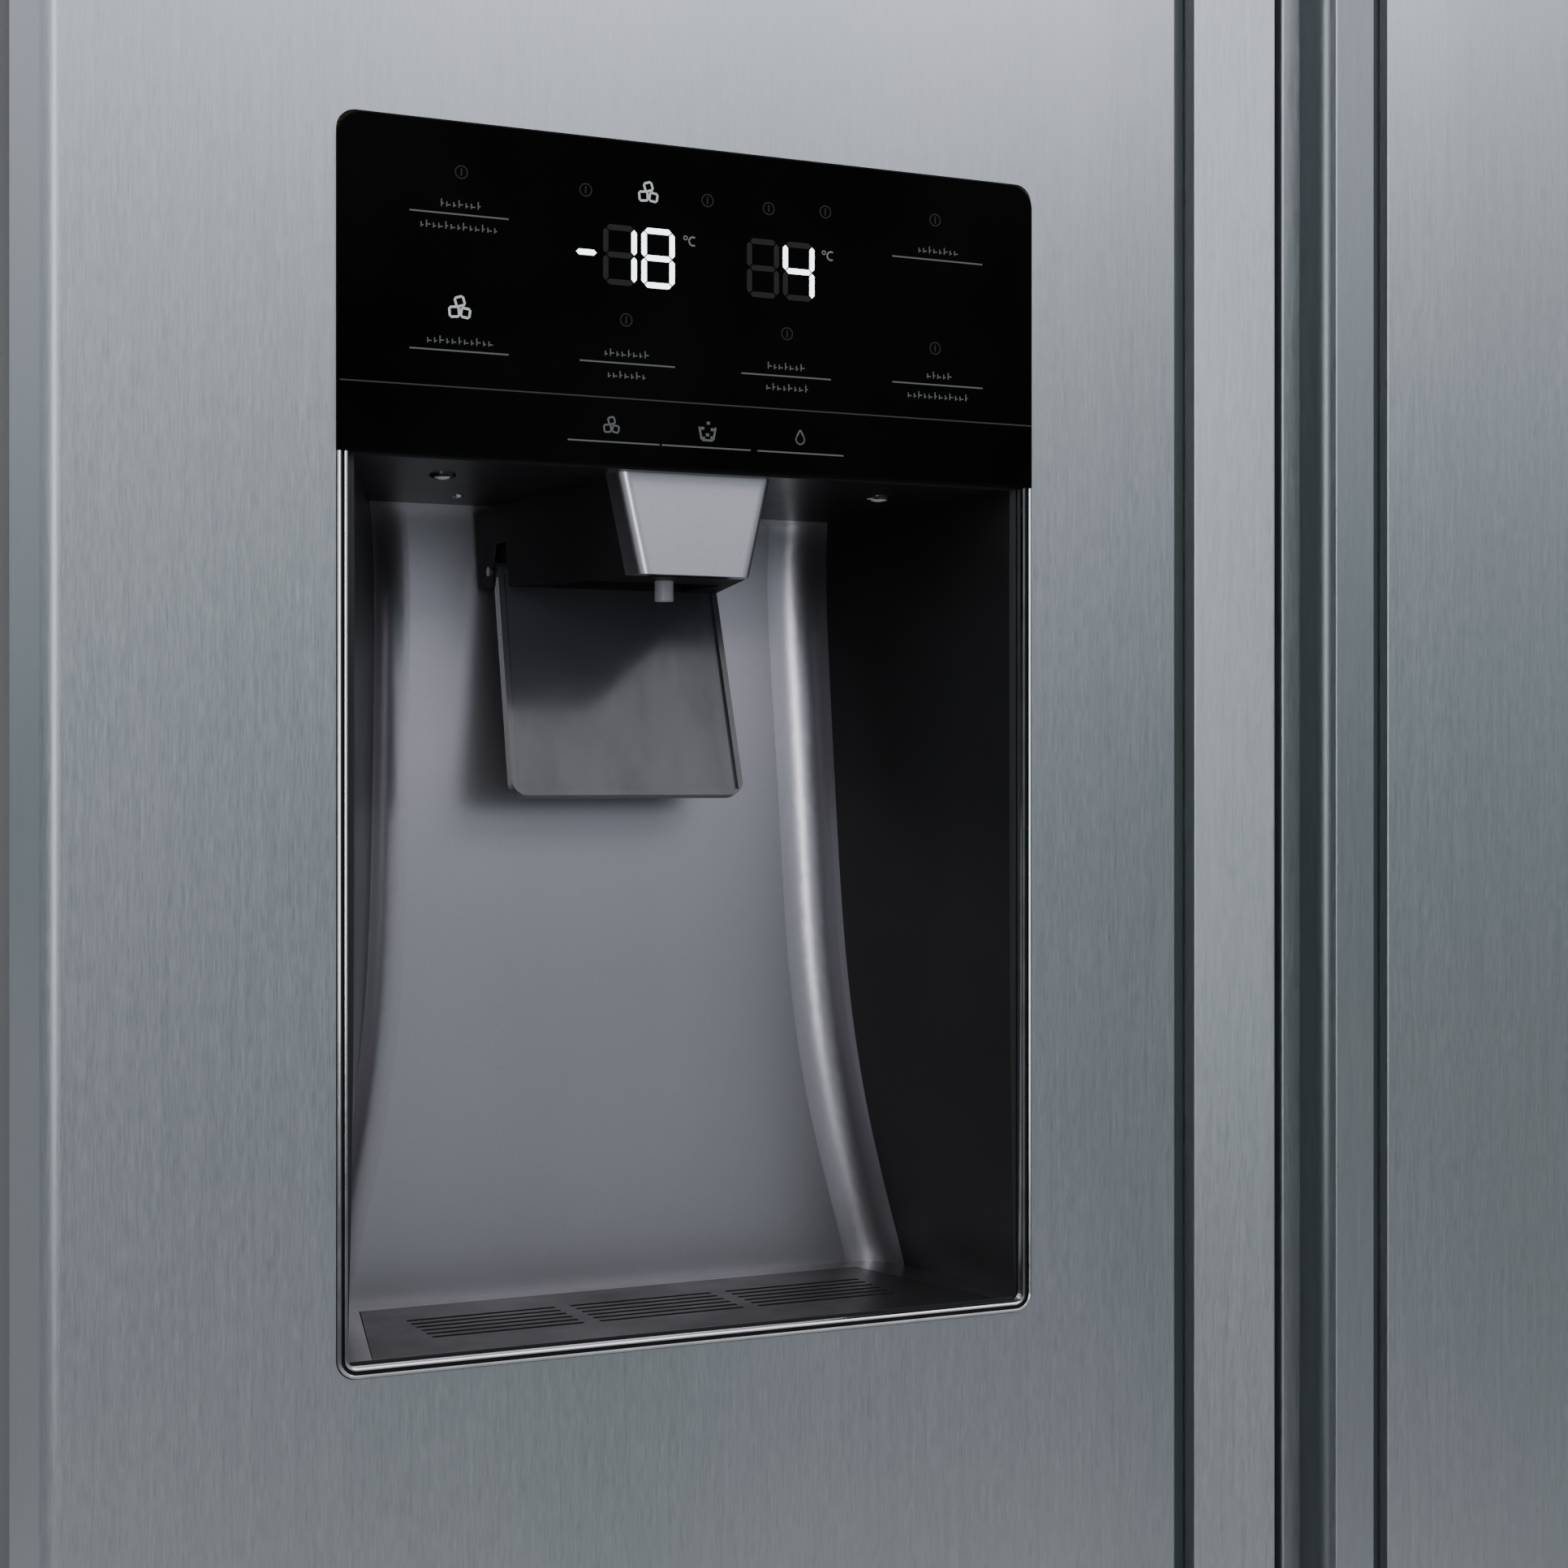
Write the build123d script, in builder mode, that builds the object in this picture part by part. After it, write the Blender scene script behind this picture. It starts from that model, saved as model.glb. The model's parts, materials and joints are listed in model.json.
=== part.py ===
"""Side by side refrigerator with an ice and water dispenser in its freezer door.

Millimetres, +Z up, doors facing -Y, origin on the floor at the middle of the footprint.
Each piece is one STEP file in parts/, and its file name is the name of its node.
"""

from build123d import *
import os

os.makedirs("parts", exist_ok=True)

# --- Driving dimensions: the whole appliance -------------------------------------------
WIDTH = 910.0
HEIGHT = 1786.0
DEPTH = 716.0
RIDGE_PROUD = 11.0  # grip ridge in front of the door face
DOOR_T = 60.0
GASKET_T = 12.0
WALL_GAP = 13.0  # rear buffers that keep the back off the wall

SIDE_X = WIDTH / 2
FACE_Y = -DEPTH / 2 + RIDGE_PROUD
DOOR_BACK_Y = FACE_Y + DOOR_T
CAB_FRONT_Y = DOOR_BACK_Y + GASKET_T
CAB_BACK_Y = DEPTH / 2 - WALL_GAP
CAB_BOTTOM_Z = 60.0
CAB_TOP_Z = 1760.0
DOOR_BOTTOM_Z = 98.0
DOOR_TOP_Z = 1757.0
GAP_X = -33.0  # middle of the gap between the two doors
SHEET = 1.0
PLASTIC = 2.0
FIT = 0.3  # clearance between pieces that pass each other

# --- Compartments ------------------------------------------------------------------------
FREEZER_X = (-400.0, -66.0)
FRIDGE_X = (0.0, 410.0)
ROOM_Z = (130.0, 1715.0)
ROOM_BACK_Y = 298.0
STEP_Y = 126.0  # the floor steps up behind this line, over the machine room
STEP_Z = 340.0
MACHINE_Y = 150.0
MACHINE_TOP_Z = 318.0
BASE_TOP_Z = 101.0
SHELF_FRONT_Y = -150.0

# --- Doors ---------------------------------------------------------------------------------
DOOR_EDGE_X = SIDE_X - 1.5
PIN_X = 433.0
PIN_Y = FACE_Y + 29.0
PIN_R = 5.0
PIN_CLEARANCE = 0.05
CAP_H = 14.0
GRIP_W = 45.0  # grip extrusion, from the middle of the gap
BEVEL_W = 75.0
BEVEL_DROP = 1.8
DIKE_T = 14.0
DIKE_DEPTH = 36.0
FREEZER_DIKE_X = (-386.0, -100.0)
FRIDGE_DIKE_X = (25.0, 398.0)
DIKE_Z = (150.0, 1700.0)
BIN_WALL = 3.0

# --- Dispenser, measured from its bottom left corner on the door face --------------------
DISP_X = -370.0
DISP_Z = 955.0
DISP_W = 234.0
DISP_H = 370.0
DISP_MID_X = DISP_X + DISP_W / 2
DISP_PROUD = 1.2
GLASS_BOTTOM = 270.6
TRIM_W = 3.5
TRAY_TOP = 4.3
RECESS_TOP = 270.0
RECESS_BACK = 95.0
BUMP_Y = FACE_Y + 122.0  # inner bulge of the door behind the dispenser
CHUTE_Y = (42.0, 78.0)
CHUTE_HALF_X = 24.0
CHUTE_TOP_Z = 1378.0
FUNNEL_BACK = 110.0
PADDLE_HALF_X = 39.3  # at the pins; the flap widens to its foot
PADDLE_FOOT_HALF_X = 41.3
PADDLE_PIVOT = (86.0, 244.0)  # depth and height of the paddle's pin


def dx(u):
    """X of a point u to the right of the dispenser's left edge."""
    return DISP_X + u


def dy(depth):
    """Y of a point this deep behind the door face."""
    return FACE_Y + depth


def dz(h):
    """Z of a point h above the dispenser's bottom edge."""
    return DISP_Z + h


# --- Small helpers --------------------------------------------------------------------------
def save(builder, node):
    """Label the finished piece with its node name and write it."""
    builder.part.label = node
    export_step(builder.part, f"parts/{node}.step")


def save_solids(solids, node):
    """Write several touching solids as one node."""
    piece = Compound(label=node, children=solids)
    export_step(piece, f"parts/{node}.step")


def block(x, y, z, mode=Mode.ADD):
    """An upright block between pairs of coordinates."""
    middle = [(low + high) / 2 for low, high in (x, y, z)]
    with Locations(tuple(middle)):
        Box(x[1] - x[0], y[1] - y[0], z[1] - z[0], mode=mode)


def rod(start, direction, radius, length, mode=Mode.ADD):
    """A round bar or hole that starts at a point and runs along a direction."""
    with Locations(Plane(origin=start, z_dir=direction)):
        Cylinder(radius, length, align=(Align.CENTER, Align.CENTER, Align.MIN), mode=mode)


def prism(plane, points, length, mode=Mode.ADD, rounds=()):
    """A straight-sided outline on a plane, its chosen corners rounded, pulled into a solid."""
    with BuildSketch(plane) as outline:
        with BuildLine():
            Polyline(*points, close=True)
        make_face()
        for corner, radius in rounds:
            fillet(outline.vertices().sort_by_distance((*corner, 0))[0], radius)
    extrude(outline.sketch, amount=length, mode=mode)


def inset(pair, by):
    """The same span, shortened by this much at both ends."""
    return (pair[0] + by, pair[1] - by)


def open_bin(x, y, z, wall, floor):
    """A box open at the top, with walls and a floor."""
    block(x, y, z)
    block(inset(x, wall), inset(y, wall), (z[0] + floor, z[1] + floor), Mode.SUBTRACT)


def front_plane(y):
    """The upright plane at this Y. Its outlines are (X, Z), and they are pulled forward."""
    return Plane(origin=(0, y, 0), x_dir=(1, 0, 0), z_dir=(0, -1, 0))


# --- Cabinet --------------------------------------------------------------------------------
def cabinet_shell():
    """Painted steel wrapper: sides and top in one bent sheet, and the face the gaskets meet."""
    inner = SIDE_X - SHEET
    with BuildPart() as shell:
        block((-SIDE_X, SIDE_X), (CAB_FRONT_Y, CAB_BACK_Y), (CAB_BOTTOM_Z, CAB_TOP_Z))
        block(
            (-inner, inner),
            (CAB_FRONT_Y - SHEET, CAB_BACK_Y + SHEET),
            (CAB_BOTTOM_Z - SHEET, CAB_TOP_Z - SHEET),
            Mode.SUBTRACT,
        )
        face_y = (CAB_FRONT_Y, CAB_FRONT_Y + SHEET)
        block((-inner, inner), face_y, (BASE_TOP_Z, CAB_TOP_Z - SHEET))
        for room in (FREEZER_X, FRIDGE_X):
            block(room, (CAB_FRONT_Y - SHEET, CAB_FRONT_Y + 2 * SHEET), ROOM_Z, Mode.SUBTRACT)
    save(shell, "cabinet_shell")


def room_outline(grow, front):
    """Side view of a compartment, stepped up over the machine room."""
    return [
        (front, ROOM_Z[0] - grow),
        (STEP_Y + grow, ROOM_Z[0] - grow),
        (STEP_Y + grow, STEP_Z - grow),
        (ROOM_BACK_Y + grow, STEP_Z - grow),
        (ROOM_BACK_Y + grow, ROOM_Z[1] + grow),
        (front, ROOM_Z[1] + grow),
    ]


LINER_FRONT_Y = CAB_FRONT_Y + SHEET
LEDGE_W = 9.0
LEDGE_H = 6.0
FREEZER_SHELF_Z = (592.0, 800.0, 1010.0, 1215.0)
FRIDGE_SHELF_Z = (565.0, 790.0, 1010.0, 1230.0, 1450.0)


def liner(node, room, shelf_heights, drawers):
    """Moulded inner lining of one compartment, with ledges for its shelves and drawers."""
    with BuildPart() as lining:
        outer = Plane.YZ.offset(room[0] - PLASTIC)
        inner = Plane.YZ.offset(room[0])
        prism(outer, room_outline(PLASTIC, LINER_FRONT_Y), room[1] - room[0] + 2 * PLASTIC)
        prism(inner, room_outline(0, LINER_FRONT_Y - SHEET), room[1] - room[0], Mode.SUBTRACT)
        for height in shelf_heights:
            ledge_z = (height - LEDGE_H, height)
            ledge_y = (SHELF_FRONT_Y + 10, SHELF_BACK_Y)
            block((room[0], room[0] + LEDGE_W), ledge_y, ledge_z)
            block((room[1] - LEDGE_W, room[1]), ledge_y, ledge_z)
        for bottom, top in drawers:
            back = STEP_Y - 8 if bottom < STEP_Z else SHELF_BACK_Y
            rail_y = (DRAWER_FRONT_Y + 6, back)
            rail_z = (bottom - LEDGE_H, bottom - FIT)
            block((room[0], room[0] + DRAWER_RAIL_W), rail_y, rail_z)
            block((room[1] - DRAWER_RAIL_W, room[1]), rail_y, rail_z)
    save(lining, node)


def insulation():
    """Foam between the wrapper and the two linings, cut away over the machine room."""
    with BuildPart() as foam:
        block(
            (-SIDE_X + SHEET, SIDE_X - SHEET),
            (LINER_FRONT_Y, CAB_BACK_Y - SHEET),
            (BASE_TOP_Z, CAB_TOP_Z - SHEET),
        )
        for room in (FREEZER_X, FRIDGE_X):
            start = Plane.YZ.offset(room[0] - PLASTIC)
            prism(
                start,
                room_outline(PLASTIC, LINER_FRONT_Y),
                room[1] - room[0] + 2 * PLASTIC,
                Mode.SUBTRACT,
            )
        block(
            (-SIDE_X, SIDE_X),
            (MACHINE_Y - 2 * SHEET, CAB_BACK_Y),
            (BASE_TOP_Z - SHEET, MACHINE_TOP_Z + 2 * SHEET),
            Mode.SUBTRACT,
        )
    save(foam, "insulation_foam")


RIB_W = 14.0
RIB_H = 1.6
RIB_COUNT = 7
RIB_PITCH = 120.0


def back_panel():
    """Rear sheet with pressed upright ribs."""
    with BuildPart() as back:
        panel_z = (MACHINE_TOP_Z + 2 * SHEET, CAB_TOP_Z - SHEET)
        block((-SIDE_X + SHEET, SIDE_X - SHEET), (CAB_BACK_Y - SHEET, CAB_BACK_Y), panel_z)
        with BuildSketch(front_plane(CAB_BACK_Y + RIB_H)) as ribs:
            with Locations((0, sum(panel_z) / 2)):
                with GridLocations(RIB_PITCH, 1, RIB_COUNT, 1):
                    SlotOverall(panel_z[1] - panel_z[0] - 160, RIB_W, rotation=90)
        extrude(ribs.sketch, amount=RIB_H)
    save(back, "back_panel")


SPACER_X = 300.0
SPACER_SIZE = (36.0, 60.0)
SPACER_Z = 1655.0


def wall_buffers():
    """Two plastic buffers that hold the back off the wall."""
    with BuildPart() as buffers:
        with BuildSketch(front_plane(CAB_BACK_Y + WALL_GAP)) as outline:
            with Locations((-SPACER_X, SPACER_Z), (SPACER_X, SPACER_Z)):
                RectangleRounded(*SPACER_SIZE, 6)
        extrude(outline.sketch, amount=WALL_GAP)
    save(buffers, "wall_buffers")


RAIL_W = 32.0
RAIL_SHEET = 3.0
FOOT_X = 400.0
FOOT_Y = -228.0
FOOT_SCREW_R = 5.0
ROLLER_Y = 296.0
ROLLER_R = 24.0
ROLLER_W = 20.0
AXLE_R = 4.0
FORK_T = 3.0
FORK_GAP = ROLLER_W + 2.0


def base_frame():
    """Steel chassis: side rails, cross members, floor plates, bulkhead, roller forks and axles."""
    inner = SIDE_X - SHEET
    with BuildPart() as base:
        for side in (-1, 1):
            rail = sorted((side * inner, side * (inner - 2 * RAIL_W)))
            block(rail, (CAB_FRONT_Y + SHEET, MACHINE_Y), (CAB_BOTTOM_Z, BASE_TOP_Z))
            trough = sorted((side * (inner - RAIL_SHEET), side * (inner - 2 * RAIL_W + RAIL_SHEET)))
            trough_y = (FOOT_Y + RAIL_W, MACHINE_Y - RAIL_W)
            block(trough, trough_y, (CAB_BOTTOM_Z - SHEET, BASE_TOP_Z - RAIL_SHEET), Mode.SUBTRACT)
        block((-inner, inner), (CAB_FRONT_Y, CAB_FRONT_Y + RAIL_W), (CAB_BOTTOM_Z, BASE_TOP_Z))
        block((-inner, inner), (CAB_FRONT_Y + SHEET, MACHINE_Y), (BASE_TOP_Z - 2, BASE_TOP_Z))
        machine_floor = (CAB_BOTTOM_Z, CAB_BOTTOM_Z + 2)
        block((-inner, inner), (MACHINE_Y - 2, CAB_BACK_Y - 2), machine_floor)
        block((-inner, inner), (MACHINE_Y - 2, MACHINE_Y), (CAB_BOTTOM_Z, MACHINE_TOP_Z))
        block((-inner, inner), (MACHINE_Y - 2, CAB_BACK_Y - 2), (MACHINE_TOP_Z, MACHINE_TOP_Z + 2))
        for side in (-1, 1):
            rod((side * FOOT_X, FOOT_Y, 0), (0, 0, 1), FOOT_SCREW_R + PIN_CLEARANCE, HEIGHT / 4,
                Mode.SUBTRACT)
            for ear in (-1, 1):
                ear_x = side * FOOT_X + ear * (FORK_GAP + FORK_T) / 2
                ear_span = (ear_x - FORK_T / 2, ear_x + FORK_T / 2)
                block(ear_span, (ROLLER_Y - 18, ROLLER_Y + 18), (14, CAB_BOTTOM_Z))
        for side in (-1, 1):
            start = side * FOOT_X - FORK_GAP / 2 - FORK_T
            rod((start, ROLLER_Y, ROLLER_R), (1, 0, 0), AXLE_R, FORK_GAP + 2 * FORK_T)
    save(base, "base_frame")


def roller(node, side):
    """Rear transport roller with a grooved rim."""
    with BuildPart() as wheel:
        start = (side * FOOT_X - ROLLER_W / 2, ROLLER_Y, ROLLER_R)
        rod(start, (1, 0, 0), ROLLER_R, ROLLER_W)
        chamfer(wheel.faces().filter_by(Axis.X).edges(), 2)
        for face_x in (-1, 1):
            rim = side * FOOT_X + face_x * ROLLER_W / 2
            rod((rim, ROLLER_Y, ROLLER_R), (-face_x, 0, 0), ROLLER_R * 0.7, 3, Mode.SUBTRACT)
            rod((rim, ROLLER_Y, ROLLER_R), (-face_x, 0, 0), AXLE_R * 2, 3)
        rod(start, (1, 0, 0), AXLE_R + PIN_CLEARANCE, ROLLER_W, Mode.SUBTRACT)
    save(wheel, node)


FOOT_R = 21.0
FOOT_H = 13.0


def levelling_foot(node, side):
    """Screw-in front foot with a round pad and a hexagon for the spanner."""
    with BuildPart() as foot:
        rod((side * FOOT_X, FOOT_Y, 0), (0, 0, 1), FOOT_R, FOOT_H)
        fillet(foot.edges().group_by(Axis.Z)[-1], 4)
        chamfer(foot.edges().group_by(Axis.Z)[0], 1.5)
        with BuildSketch(Plane.XY.offset(FOOT_H)) as hexagon:
            with Locations((side * FOOT_X, FOOT_Y)):
                RegularPolygon(9, 6)
        extrude(hexagon.sketch, amount=7)
        rod((side * FOOT_X, FOOT_Y, FOOT_H), (0, 0, 1), FOOT_SCREW_R, BASE_TOP_Z - FOOT_H - 3)
    save(foot, node)


KICK_Y = -300.0
KICK_Z = (20.0, 84.0)
SLOT_COUNT = 23
SLOT_PITCH = 34.0


def kick_grille():
    """Slotted plinth below the doors."""
    with BuildPart() as grille:
        block((-SIDE_X + 6, SIDE_X - 6), (KICK_Y, CAB_FRONT_Y - 4), KICK_Z)
        fillet(grille.edges().filter_by(Axis.Z).group_by(Axis.Y)[0], 12)
        block(
            (-SIDE_X + 9, SIDE_X - 9),
            (KICK_Y + 3, CAB_FRONT_Y),
            (KICK_Z[0] - 3, KICK_Z[1] - 3),
            Mode.SUBTRACT,
        )
        for side in (-1, 1):
            tab = sorted((side * (SIDE_X - 60), side * (SIDE_X - 90)))
            block(tab, (KICK_Y + 3, CAB_FRONT_Y), (KICK_Z[1] - 15, KICK_Z[1] - 11))
        with BuildSketch(front_plane(KICK_Y + 4)) as slots:
            with Locations((0, sum(KICK_Z) / 2)):
                with GridLocations(SLOT_PITCH, 14, SLOT_COUNT, 3):
                    SlotOverall(26, 5)
        extrude(slots.sketch, amount=8, mode=Mode.SUBTRACT)
    save(grille, "kick_grille")


# --- Machine room ---------------------------------------------------------------------------
VALVE_X = 370.0
VALVE_Z = 130.0
THREAD_R = 13.2
THREAD_LENGTH = 11.0
INLET_X = -395.0
INLET_Z = 250.0


def machine_cover():
    """Louvred rear cover of the machine room, with cut-outs for the mains inlet and the valve."""
    with BuildPart() as cover:
        panel_y = (CAB_BACK_Y - 2 + FIT, CAB_BACK_Y)
        block(inset((-SIDE_X, SIDE_X), 2), panel_y, (CAB_BOTTOM_Z + 2, MACHINE_TOP_Z - 1))
        with BuildSketch(front_plane(CAB_BACK_Y + 1)) as holes:
            with Locations((-20, 190)):
                with GridLocations(62, 17, 9, 10):
                    SlotOverall(48, 6)
            with Locations((VALVE_X, VALVE_Z)):
                Rectangle(70, 54)
            with Locations((INLET_X, INLET_Z)):
                Rectangle(50, 30)
        extrude(holes.sketch, amount=8, mode=Mode.SUBTRACT)
    save(cover, "machine_cover")


COMPRESSOR_X = -300.0
COMPRESSOR_Y = 248.0
MOUNT_H = 18.0
MOUNT_PITCH = (150.0, 76.0)
COMPRESSOR_Z = CAB_BOTTOM_Z + 2 + MOUNT_H


def compressor():
    """Welded dome on a foot plate, with relay box and pipe stubs, on four rubber bushes."""
    with BuildPart() as pot:
        with BuildSketch(Plane.XY.offset(COMPRESSOR_Z)) as foot:
            with Locations((COMPRESSOR_X, COMPRESSOR_Y)):
                RectangleRounded(MOUNT_PITCH[0] + 30, MOUNT_PITCH[1] + 30, 12)
        extrude(foot.sketch, amount=3)
        with BuildSketch(Plane.XY.offset(COMPRESSOR_Z + 3)) as body:
            with Locations((COMPRESSOR_X, COMPRESSOR_Y)):
                Ellipse(68, 56)
        extrude(body.sketch, amount=150)
        fillet(pot.edges().group_by(Axis.Z)[-1], 34)
        relay_x = (COMPRESSOR_X + 60, COMPRESSOR_X + 84)
        block(relay_x, (COMPRESSOR_Y - 26, COMPRESSOR_Y + 26), (COMPRESSOR_Z + 60, COMPRESSOR_Z + 120))
        for offset in (-18, 18):
            rod((COMPRESSOR_X - 90, COMPRESSOR_Y + offset, COMPRESSOR_Z + 90), (1, 0, 0), 4, 40)
        with BuildSketch(Plane.XY.offset(CAB_BOTTOM_Z + 2)) as rings:
            with Locations((COMPRESSOR_X, COMPRESSOR_Y)):
                with GridLocations(*MOUNT_PITCH, 2, 2):
                    Circle(11)
        extrude(rings.sketch, amount=MOUNT_H)
    save(pot, "compressor")


def fin_pack(x, y, z, fins, tubes):
    """Upright fins across X, joined by straight tubes that run along X."""
    pitch = (x[1] - x[0] - SHEET) / (fins - 1)
    for i in range(fins):
        start = x[0] + i * pitch
        block((start, start + SHEET), y, z)
    for depth, height in tubes:
        rod((x[0], depth, height), (1, 0, 0), 4, x[1] - x[0])


def fan_bracket(centre, axis, size):
    """Square fan plate with a round mouth, a spider and the fixed shaft of the motor."""
    plane = Plane(origin=centre, z_dir=axis)
    with BuildSketch(plane.offset(-14)) as plate:
        Rectangle(size, size)
        Circle(FAN_R + 2, mode=Mode.SUBTRACT)
    extrude(plate.sketch, amount=28)
    with BuildSketch(plane.offset(12)) as spider:
        Circle(16)
        Rectangle(size, 8)
        Rectangle(8, size)
    extrude(spider.sketch, amount=2)
    with BuildSketch(plane.offset(-8)) as shaft:
        Circle(FAN_SHAFT_R)
    extrude(shaft.sketch, amount=20)


CONDENSER_X = (-60.0, 130.0)
CONDENSER_Y = (190.0, 310.0)
CONDENSER_Z = (92.0, 240.0)
FAN_CENTRE = (-130.0, 250.0, 166.0)
FAN_R = 58.0
FAN_SHAFT_R = 3.0


def condenser():
    """Finned hot-side coil on two feet, with the bracket of its fan beside it."""
    with BuildPart() as coil:
        rows = [(depth, height) for depth in (215, 250, 285) for height in (115, 166, 217)]
        fin_pack(CONDENSER_X, CONDENSER_Y, CONDENSER_Z, 14, rows)
        for depth in (CONDENSER_Y[0] + 10, CONDENSER_Y[1] - 14):
            block(CONDENSER_X, (depth, depth + 4), (CAB_BOTTOM_Z + 2, CONDENSER_Z[0] + 2))
        fan_bracket(FAN_CENTRE, (1, 0, 0), 140)
        duct_x = (FAN_CENTRE[0] + 14, CONDENSER_X[0] + SHEET)
        for depth in (FAN_CENTRE[1] - 64, FAN_CENTRE[1] + 60):
            block(duct_x, (depth, depth + 4), (120, 212))
        block((FAN_CENTRE[0] - 10, FAN_CENTRE[0] + 10), (200, 300), (CAB_BOTTOM_Z + 2, 98))
    save(coil, "condenser_coil")


def fan_wheel(node, centre, axis, blades=5):
    """Hub and pitched blades that turn on the fixed shaft."""
    plane = Plane(origin=centre, z_dir=axis)
    with BuildPart() as wheel:
        with BuildSketch(plane.offset(-9)) as hub:
            Circle(15)
        extrude(hub.sketch, amount=18)
        for turn in range(blades):
            spoke = plane.location * Rot(0, 0, 360 / blades * turn) * Pos(34, 0, 0) * Rot(32, 0, 0)
            with Locations(spoke):
                Box(44, 26, 1.6)
        with BuildSketch(plane.offset(-11)) as bore:
            Circle(FAN_SHAFT_R + PIN_CLEARANCE)
        extrude(bore.sketch, amount=24, mode=Mode.SUBTRACT)
    save(wheel, node)


def water_valve():
    """Solenoid inlet valve, its threaded inlet pointing backwards."""
    with BuildPart() as valve:
        body_y = (CAB_BACK_Y - 38, CAB_BACK_Y - 4)
        block((VALVE_X - 20, VALVE_X + 20), body_y, (VALVE_Z - 18, VALVE_Z + 18))
        block((VALVE_X - 4, VALVE_X + 4), body_y, (CAB_BOTTOM_Z + 2, VALVE_Z - 17))
        rod((VALVE_X, body_y[0] + 10, VALVE_Z + 17), (0, 0, 1), 14, 34)
        rod((VALVE_X, body_y[1] - 1, VALVE_Z), (0, 1, 0), 18, 4)
        thread_start = DEPTH / 2 - THREAD_LENGTH
        rod((VALVE_X, body_y[1], VALVE_Z), (0, 1, 0), THREAD_R, DEPTH / 2 - body_y[1])
        chamfer(valve.faces().sort_by(Axis.Y)[-1].edges(), 1)
        rod((VALVE_X, thread_start - 4, VALVE_Z), (0, 1, 0), 9, THREAD_LENGTH + 4, Mode.SUBTRACT)
    save(valve, "water_valve")


def power_inlet():
    """Three-pin mains inlet set in the rear cover."""
    with BuildPart() as inlet:
        body_x = (INLET_X - 24, INLET_X + 24)
        block(body_x, (CAB_BACK_Y - 30, CAB_BACK_Y), (INLET_Z - 14, INLET_Z + 14))
        with BuildSketch(front_plane(CAB_BACK_Y + 1)) as socket:
            with Locations((INLET_X, INLET_Z)):
                Rectangle(24, 16.5)
                chamfer(socket.vertices().group_by(Axis.Y)[-1], 5)
        extrude(socket.sketch, amount=18, mode=Mode.SUBTRACT)
        flange_x = (INLET_X - 30, INLET_X + 30)
        block(flange_x, (CAB_BACK_Y - 5, CAB_BACK_Y - 2), (INLET_Z - 20, INLET_Z + 20))
        block((INLET_X - 12, INLET_X + 12), (CAB_BACK_Y - 17, CAB_BACK_Y), (INLET_Z - 3, INLET_Z + 3),
              Mode.SUBTRACT)
        for offset, height in ((-7, -2), (7, -2), (0, 2)):
            blade_x = (INLET_X + offset - 1, INLET_X + offset + 1)
            block(blade_x, (CAB_BACK_Y - 18, CAB_BACK_Y - 3), (INLET_Z + height - 2, INLET_Z + height + 2))
    save(inlet, "power_inlet")


# --- Doors ----------------------------------------------------------------------------------
class DoorSide:
    """Which way a door faces: the freezer door is hung on the left, the fridge door on the right."""

    def __init__(self, name, side, dike_x):
        self.name = name
        self.side = side
        self.dike_x = dike_x
        self.edge_x = side * DOOR_EDGE_X
        self.pin_x = side * PIN_X

    def x(self, w):
        """X at this distance from the middle of the gap, towards the door's hinges."""
        return GAP_X + self.side * w


FREEZER_DOOR = DoorSide("freezer_door", -1, FREEZER_DIKE_X)
FRIDGE_DOOR = DoorSide("fridge_door", 1, FRIDGE_DIKE_X)
SKIN_DEPTH = 56.0
EDGE_R = 5.0
BEND_R = 180.0
SEAM_W = 38.0
SEAM_DEPTH = 7.0
GRIP_BACK = 17.0
LIP_W = 2.0


def door_skin(door):
    """Brushed steel front, wrapped round the hinge side and bent in towards the grip."""
    edge = door.edge_x
    inner_edge = edge - door.side * SHEET
    with BuildPart() as skin:
        outline = [
            (edge, dy(SKIN_DEPTH)),
            (edge, dy(0)),
            (door.x(BEVEL_W), dy(0)),
            (door.x(GRIP_W), dy(BEVEL_DROP)),
            (door.x(GRIP_W), dy(SEAM_DEPTH + 2)),
            (door.x(GRIP_W + SHEET), dy(SEAM_DEPTH + 2)),
            (door.x(GRIP_W + SHEET), dy(BEVEL_DROP + SHEET)),
            (door.x(BEVEL_W), dy(SHEET)),
            (inner_edge, dy(SHEET)),
            (inner_edge, dy(SKIN_DEPTH)),
        ]
        rounds = [
            ((edge, dy(0)), EDGE_R),
            ((inner_edge, dy(SHEET)), EDGE_R - SHEET),
            ((door.x(BEVEL_W), dy(0)), BEND_R),
            ((door.x(BEVEL_W), dy(SHEET)), BEND_R),
            ((door.x(GRIP_W), dy(BEVEL_DROP)), 0.7),
        ]
        prism(Plane.XY.offset(DOOR_BOTTOM_Z), outline, DOOR_TOP_Z - DOOR_BOTTOM_Z, rounds=rounds)
        if door is FREEZER_DOOR:
            with BuildSketch(front_plane(dy(SHEET + 1))) as window:
                with Locations((DISP_MID_X, DISP_Z + DISP_H / 2)):
                    RectangleRounded(DISP_W + 0.4, DISP_H + 0.4, 6)
            extrude(window.sketch, amount=SHEET + 2, mode=Mode.SUBTRACT)
    save(skin, f"{door.name}_skin")


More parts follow.
